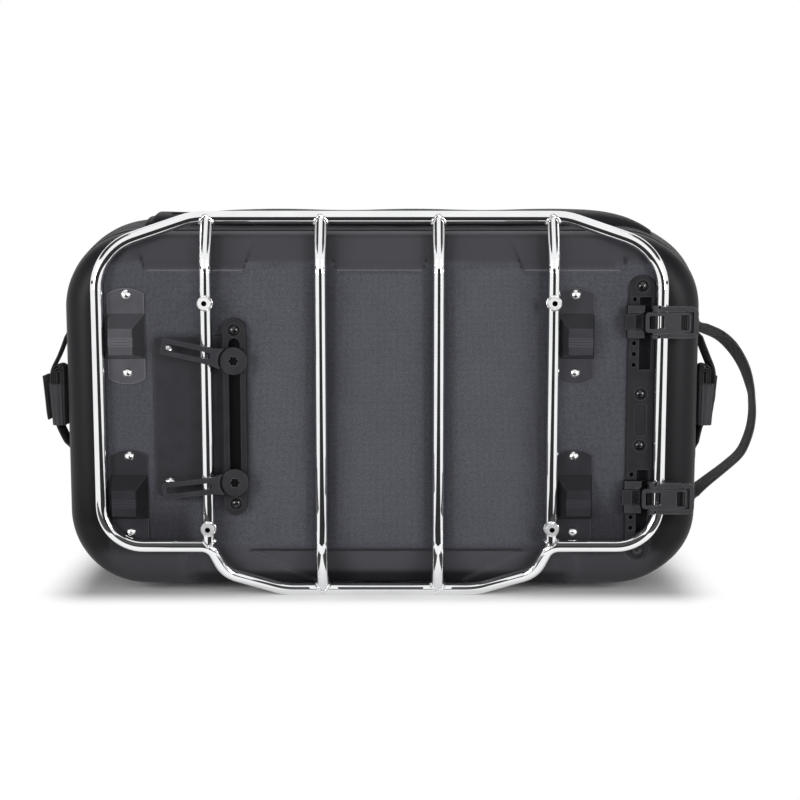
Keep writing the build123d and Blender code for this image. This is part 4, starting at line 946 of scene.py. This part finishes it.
def handle():
    """The webbing loop; it lies edge on in the middle and turns towards its sewn ends."""
    root = side_wall(1, HANDLE_Y) + 3.8
    path = smooth_path(
        [(root, 101), (root + 0.6, 92), (347.7, 82.6), (368.9, 72.7), (384.2, 59), (397.3, 38.1),
         (405.0, 14.5), (407.4, -2), (407.6, -18.5), (404.5, -36.6), (396.3, -56.4), (381.6, -71.2),
         (355.5, -92.5), (root + 1.6, -103), (root, -112), (root, -119)], 8)
    n = len(path)
    t = np.linspace(0, 1, n)
    points = np.column_stack([path[:, 0], np.full(n, HANDLE_Y), path[:, 1]])
    inward = np.cross(tangents(points), DEPTHWISE)
    twist = -np.radians(np.interp(t, (0.0, 0.09, 0.15, 0.26, 0.34, 0.43, 0.62, 0.75, 0.8, 0.85, 0.9, 1.0),
                                  (-4, -2, 24, 22, 14, 1, 4, 7, 12, 18, 2, -4)))
    across = np.cos(twist)[:, None] * DEPTHWISE + np.sin(twist)[:, None] * inward
    obj = ribbon("handle_web", points, across, WEB_WIDTH, 2.6, HANDLE_WEB, rib=0.18)
    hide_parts("side_handle")


handle()


def anchors():
    """Stitched patches under the ends of the handle."""
    x = side_wall(1, HANDLE_Y)
    for k, z in enumerate(ANCHOR_Z):
        heights = np.linspace(z - ANCHOR_HALF, z + ANCHOR_HALF, 12)
        path = [(x + 1.0, HANDLE_Y, h) for h in heights]
        across = np.tile(DEPTHWISE, (len(path), 1))
        patch = ribbon(f"handle_patch_{k + 1}", path, across, 32.0, 1.6, WEB)
        if k == 0:
            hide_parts("handle_anchors")
        for e in (-13.0, 13.0):
            line = [(x + 1.9, HANDLE_Y - 13 + 26 * q / 24, z + e + 0.3 * (-1) ** q) for q in range(25)]
            stitch = tube(f"handle_stitch_{k + 1}_{'low' if e < 0 else 'high'}", line, 0.35, 5, THREAD)


anchors()

# Side straps: each runs out to a bundle of folded tail in a wide wrap

strap_low, strap_high = limits("right_strap")
bundle_top = limits("right_strap_bundle")[1].z
wrap_low, wrap_high = limits("strap_keepers")
STRAP_Y = (strap_low.y + strap_high.y) / 2


def strap_piece(name, path, sign, width, thick, lean=0.0):
    """A strap in the X-Z plane, its width along Y, turned by lean degrees along its run."""
    n = len(path)
    points = np.column_stack([sign * path[:, 0], np.full(n, STRAP_Y), path[:, 1]])
    side = np.cross(tangents(points), DEPTHWISE)
    a = np.radians(np.broadcast_to(lean, n))[:, None] * sign
    across = np.cos(a) * DEPTHWISE + np.sin(a) * side
    piece = ribbon(name, points, across, width, thick, WEB, rib=0.12)
    return piece


def keeper(name, inner, width, sign):
    """A wide ribbed wrap round the folded tail, a little narrower at its foot."""
    rows, cols = 14, 96
    verts = []
    for k in range(rows):
        t = k / (rows - 1)
        z = wrap_low.z - 2.0 + (wrap_high.z - wrap_low.z + 2.0) * t
        outer = inner + width - 3.0 * (1 - t)
        mid_x, half_x = (inner + outer) / 2, (outer - inner) / 2 - 0.5
        for a in around(cols):
            c, d = math.cos(a), math.sin(a)
            rib = 0.35 * math.cos(16 * a)
            verts.append((sign * (mid_x + (half_x + rib) * np.sign(c) * abs(c) ** 0.6),
                          STRAP_Y + (14.2 + rib) * np.sign(d) * abs(d) ** 0.5, z))
    obj = tidy_normals(add_object(name, verts, grid_faces(rows, cols, wrap_cols=True), WRAP))
    thicken(obj, 1.1)
    return obj


def fold(inner, a, b, up, down):
    """A closed flat loop of tail, between two offsets from the wall and two heights."""
    r = (b - a) / 2
    mid = inner + a + r
    arc = [math.pi * q / 8 for q in range(9)]
    turn = [(mid - r * math.cos(q), up - r + r * math.sin(q)) for q in arc]
    turn += [(mid + r * math.cos(q), down + r - r * math.sin(q)) for q in arc]
    return np.array(turn + [turn[0]])


FOLD_STEP = 1.9

# Side, sign of X, the wrap's gap to the wall and its width, the strap's lean above and below,
# where it leaves the wrap, and the flap's offsets
STRAPS = (
    ("left", -1, 3.0, 18.4, (4.0, -3.0), 9.0, (18.2, 19.4, 21.0, 22.6)),
    ("right", 1, 1.0, 19.0, (-6.0, -2.0), 4.5, (13.2, 14.8, 17.2, 18.8)),
)
for side, sign, gap, wide, (lean_up, lean_down), leave, flap_out in STRAPS:
    wall_x = side_wall(sign, STRAP_Y)
    inner = wall_x + gap
    outer = inner + wide
    path = smooth_path(
        [(wall_x + 0.9, strap_high.z - 1), (wall_x + 1.0, strap_high.z - 9), (wall_x + 3.5, 74.0),
         (wall_x + 10.0, 58.0), (outer - 3.8, 42.0), (outer - 2.8, 27.0), (outer - 4.0, 8.0),
         (inner + leave + 2.5, wrap_low.z + 4), (inner + leave, wrap_low.z - 3),
         (inner + leave * 0.4, -29.0), (wall_x + 1.0, -40.0), (wall_x + 0.9, strap_low.z + 0.5)], 8)
    lean = np.interp(np.linspace(0, 1, len(path)), (0.0, 0.1, 0.16, 0.6, 0.75, 0.86, 0.92, 1.0),
                     (12.0, 12.0, lean_up, lean_up, lean_down, lean_down, 12.0, 12.0))
    strap = strap_piece(f"{side}_strap_web", path, sign, WEB_WIDTH, 2.4, lean)
    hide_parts(f"{side}_strap")

    for number in range(3):
        tuck = FOLD_STEP * number
        up = bundle_top + 2.0 - 3.0 * number
        down = wrap_low.z + 2.0 + 2.0 * number
        path = fold(inner, 1.6 + tuck, 12.6 - tuck, up, down)
        piece = strap_piece(f"{side}_tail_fold_{number + 1}", path, sign, 24.3 - 0.6 * number, 1.5)
        if number == 0:
            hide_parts(f"{side}_strap_bundle")
    flap_z = (wrap_low.z + 4, -2.0, 18.0, wrap_high.z + 8)
    flap = smooth_path([(inner + out, z) for out, z in zip(flap_out, flap_z)], 6)
    strap_piece(f"{side}_tail_flap", flap, sign, WEB_WIDTH, 1.9, 1.0)

    wrap = keeper(f"{side}_keeper_wrap", inner, wide, sign)
    if side == "left":
        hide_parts("strap_keepers")

# Near-black dished ring round the rivet in the index rail's tail: its black is painted shade of the hole the
# rivet sits in

tail_rivet_z = limits("index_rail_rivets")[0].z + 3.6


def washer(name, x, z, front):
    """A dished ring, its mouth towards the viewer."""
    cols = 40
    profile = ((6.6, 0.25), (6.4, -0.15), (5.9, -0.3), (5.2, -0.1), (4.4, 0.35), (4.2, 0.7))
    verts = []
    for r, dy in profile:
        for a in around(cols):
            verts.append((x + r * math.cos(a), front + dy, z + r * math.sin(a)))
    ring = tidy_normals(add_object(name, verts, grid_faces(len(profile), cols, wrap_cols=True), SPRING))
    thicken(ring, -0.2)


washer("index_tail_shade_ring", INDEX_MID.x, tail_rivet_z, FACE)

# Bent wire springs on the index catches

for level in ("upper", "lower"):
    catch = f"{level}_index_catch"
    low, high = limits(catch)
    mid = (low.z + high.z) / 2
    zigzag = [(low.x + (10.8 if k % 2 else 16.2), low.y + 1.2, mid - 6.6 + 2.2 * k) for k in range(7)]
    spring = tube(f"{level}_catch_spring", smooth_path(zigzag, 6), 0.62, 7, SPRING, body=catch)

# Weld beads where the bars meet the rail


BEAD_R = 1.6
TOP_SLANT = (0, -RUN_BACK, -41.5)
BOTTOM_SLANT = (0, -RUN_BACK, 39.0)
UPRIGHT = (0, 0, 1)


def weld(name, centre, direction):
    """A rippled fillet along the curve where a bar's end meets a run of the rail along X."""
    centre = np.array(centre, float)
    d = np.array(direction, float)
    d /= np.linalg.norm(d)
    r = np.array([1.0, 0.0, 0.0])
    u = np.cross(d, r)
    u /= np.linalg.norm(u)
    v = np.cross(d, u)
    path = []
    steps = 72
    for a in around(steps):
        off = TUBE_R * (math.cos(a) * u + math.sin(a) * v)
        low_t, high_t = 0.0, 30.0
        for _ in range(30):
            t = (low_t + high_t) / 2
            p = off + d * t
            away = np.linalg.norm(p - r * (p @ r))
            if away < TUBE_R:
                low_t = t
            else:
                high_t = t
        path.append(centre + off * 1.02 + d * (high_t + 0.2))
    swing = np.array(around(steps))
    radii = BEAD_R * (1 + 0.14 * np.sin(9 * swing) + 0.35 * np.abs(np.sin(swing)) ** 6)
    bead = tube(name, path, radii, 8, WELD, closed=True)


for k, x in enumerate(BARS, 1):
    weld(f"weld_top_{k}", (x, RUN_Y, TOP_RUN_Z), TOP_SLANT)
    if k in (2, 3):
        weld(f"weld_bottom_{k}", (x, RUN_Y, BOTTOM_RUN_Z), BOTTOM_SLANT)
    else:
        weld(f"weld_bottom_{k}", (x, BAR_Y, LOWER_RUN_Z), UPRIGHT)


def boss_weld(name, x, z):
    """A rippled bead round a boss, where it sits on its bar."""
    steps = 48
    ring_r = 7.2
    turn = np.array(around(steps))
    path = []
    for a in turn:
        dx = ring_r * math.cos(a)
        away = min(abs(dx), TUBE_R - 0.2)
        y = BAR_Y - math.sqrt(TUBE_R**2 - away**2)
        path.append((x + dx, min(y, 9.5), z + ring_r * math.sin(a)))
    bead = tube(name, path, 0.9 * (1 + 0.15 * np.sin(8 * turn)), 8, WELD, closed=True)


HOLE_MOUTH = 0.9
HOLE_DEPTH = 11.0
HOLE_R = 2.55
THREAD_HALF = 0.15


def tapped_hole(name, x, z):
    """The threaded wall and blind end inside a boss, with 1 mm pitch, near black as painted shade down the
    hole.
    """
    rows, cols = 40, 24
    verts = []
    for k in range(rows):
        y = HOLE_MOUTH + HOLE_DEPTH * k / (rows - 1)
        for a in around(cols):
            r = HOLE_R + THREAD_HALF * math.sin(2 * math.pi * y + a)
            verts.append((x + r * math.cos(a), y, z + r * math.sin(a)))
    faces = grid_faces(rows, cols, wrap_cols=True) + end_caps(rows, cols)[1:]
    # Near black: painted shade inside the hole.
    obj = add_object(name, verts, faces, DARK_GLOSS)
    thicken(obj, -0.12)


for k, (sx, sz) in enumerate(((-1, 1), (1, 1), (-1, -1), (1, -1)), 1):
    boss_weld(f"weld_boss_{k}", sx * OUTER_BAR, sz * BOSS_Z)
    tapped_hole(f"boss_thread_{k}", sx * OUTER_BAR, sz * BOSS_Z)

# Floor and backdrop: white to the eye and in reflections, shaded only close round the object

FLOOR_HALF = 9.0
FLOOR_DROP = 0.15
SHADOW_MID_Y = 0.16
SHADOW_HALF_X = 0.3
SHADOW_HALF_Y = 0.11
SHADOW_FADE = 0.065
SKY_LIGHT = 0.06


def seen_directly(tree):
    """1 for rays from the camera and for those that metal or glass sends on, else 0."""
    rays = tree.nodes.new("ShaderNodeLightPath").outputs
    seen = rays["Is Camera Ray"]
    for kind in ("Is Glossy Ray", "Is Transmission Ray"):
        either = tree.nodes.new("ShaderNodeMath")
        either.operation = "MAXIMUM"
        tree.links.new(seen, either.inputs[0])
        tree.links.new(rays[kind], either.inputs[1])
        seen = either.outputs[0]
    return seen


def beyond(n, value, mid, half):
    """How far a coordinate lies outside a band, squared."""
    aside = n.math("ABSOLUTE", n.math("SUBTRACT", value, mid))
    past = n.math("MAXIMUM", n.math("SUBTRACT", aside, half), 0.0)
    return n.math("MULTIPLY", past, past)


def floor_material():
    n = Nodes("floor_white")
    n.set(Base_Color=(0.9, 0.9, 0.9), Roughness=0.9, Specular_IOR_Level=0.1)
    white = n.add("ShaderNodeEmission", {"Strength": 1.0})
    x, y, _ = n.axes()
    off_x = beyond(n, x, 0.0, SHADOW_HALF_X)
    off_y = beyond(n, y, SHADOW_MID_Y, SHADOW_HALF_Y)
    away = n.math("SQRT", n.math("ADD", off_x, off_y))
    fade = n.ramp(away, 0.0, SHADOW_FADE, 0.0, 1.0, "SMOOTHSTEP")
    share = n.math("MULTIPLY", fade, seen_directly(n.tree))
    return n.surface(n.add("ShaderNodeMixShader", {0: share, 1: n.shader.outputs[0], 2: white.outputs[0]}))


floor_mesh = bpy.data.meshes.new("floor")
corners = [(sx * FLOOR_HALF, sy * FLOOR_HALF, 0) for sx, sy in ((-1, -1), (1, -1), (1, 1), (-1, 1))]
floor_mesh.from_pydata(corners, [], [(0, 1, 2, 3)])
floor_mesh.materials.append(floor_material())
floor = bpy.data.objects.new("floor", floor_mesh)
floor.location.z = (FLOOR_Z - FLOOR_DROP) * MM
scene.collection.objects.link(floor)

world = bpy.data.worlds.new("studio")
scene.world = world
world.use_nodes = True
tree = world.node_tree
background = tree.nodes["Background"]
background.inputs["Color"].default_value = (1, 1, 1, 1)
level = tree.nodes.new("ShaderNodeMapRange")
level.inputs["To Min"].default_value = SKY_LIGHT
level.inputs["To Max"].default_value = 1.0
tree.links.new(seen_directly(tree), level.inputs["Value"])
tree.links.new(level.outputs["Result"], background.inputs["Strength"])

# Lamps


def lamp(name, place, target, size, power, glossy=True):
    data = bpy.data.lights.new(name, "AREA")
    data.shape = "RECTANGLE"
    data.size, data.size_y = size
    data.energy = power
    obj = bpy.data.objects.new(name, data)
    obj.location = place
    obj.rotation_euler = (Vector(target) - Vector(place)).to_track_quat("-Z", "Y").to_euler()
    obj.visible_glossy = glossy
    scene.collection.objects.link(obj)


lamp("key_left", (-1.35, -1.4, 0.42), (0, 0, 0), (0.6, 0.7), 17)
lamp("key_right", (1.35, -1.4, 0.42), (0, 0, 0), (0.6, 0.7), 17)
lamp("front", (0.0, -1.75, 0.6), (0, 0, 0), (1.2, 0.5), 5, glossy=False)
lamp("overhead", (0.0, 0.75, 1.6), (0, 0.1, 0), (1.6, 0.8), 16, glossy=False)
lamp("rear", (0.5, 2.0, 0.7), (0, 0.2, 0), (1.4, 0.9), 22, glossy=False)
lamp("bounce", (0.0, -0.7, FLOOR_Z * MM + 0.02), (0, 0, 0.02), (0.9, 0.12), 1.6, glossy=False)


# Dark cards that only reflections see; they draw the dark lines on the chrome

SKY_REACH = 4.0
SKY_Z = 0.16
LOW = FLOOR_Z * MM + 0.001


def card(name, corners, shade):
    """A strip of card, its corners given two by two along it."""
    mesh = bpy.data.meshes.new(name)
    rows = len(corners) // 2
    mesh.from_pydata(corners, [], [(2 * k, 2 * k + 1, 2 * k + 3, 2 * k + 2) for k in range(rows - 1)])
    obj = bpy.data.objects.new(name, mesh)
    scene.collection.objects.link(obj)
    n = Nodes(name)
    mesh.materials.append(n.surface(n.add("ShaderNodeEmission", {"Color": (shade, shade, shade)})))
    obj.visible_camera = False
    obj.visible_diffuse = False
    obj.visible_shadow = False
    obj.visible_transmission = False


def sky(azimuth, low, high):
    """Corners of a strip of sky between two elevations, along a list of azimuths in degrees."""
    corners = []
    for a in azimuth:
        for e in (low, high):
            a_r, e_r = math.radians(a), math.radians(e)
            flat = SKY_REACH * math.cos(e_r)
            corners.append((flat * math.sin(a_r), -flat * math.cos(a_r), SKY_Z + SKY_REACH * math.sin(e_r)))
    return corners


def level_strip(x0, x1, y0, y1, z):
    """Corners of a level card."""
    return [(x, y, z) for y in (y0, y1) for x in (x0, x1)]


card("card_floor", [(-0.24, -0.16, LOW), (0.27, -0.16, LOW), (-1.2, -3.0, LOW), (1.7, -3.0, LOW)], 0.03)
card("card_front", [(-1.2, -3.0, LOW), (-1.2, -3.0, 0.3), (1.7, -3.0, LOW), (1.7, -3.0, 0.3)], 0.03)
card("card_skyline", sky(range(-110, 111, 10), 2.0, 5.0), 0.05)
card("card_left", sky(range(-125, -44, 10), 27.0, 65.0), 0.05)
card("card_right", sky(range(45, 126, 10), 27.0, 65.0), 0.05)
card("card_low_left", level_strip(-0.165, -0.45, 0.0035, -0.08, -0.12), 0.08)
card("card_low_right", level_strip(0.15, 0.42, 0.0035, -0.08, -0.12), 0.08)
for number, (x0, x1) in enumerate(((-0.13, -0.075), (-0.045, 0.045), (0.075, 0.13)), 1):
    card(f"card_sill_{number}", level_strip(x0, x1, 0.017, -0.035, -0.17), 0.06)

# Camera, at the photograph's angle; FOCAL is in pixels of an 800 pixel frame

FOCAL = 1482.0
FRAME = 800
SENSOR = 36.0
CAM_DISTANCE = 1.5
CAM_TILT = math.radians(7.2)
TARGET = Vector((0.0205, BAR_Y * MM, 0.0169))
camera_data = bpy.data.cameras.new("camera")
camera_data.sensor_width = SENSOR
camera_data.lens = FOCAL / FRAME * SENSOR
camera = bpy.data.objects.new("camera", camera_data)
camera.location = TARGET + Vector((0, -math.cos(CAM_TILT), math.sin(CAM_TILT))) * CAM_DISTANCE
camera.rotation_euler = (math.pi / 2 - CAM_TILT, 0, 0)
scene.collection.objects.link(camera)
scene.camera = camera

scene.view_settings.view_transform = "Standard"
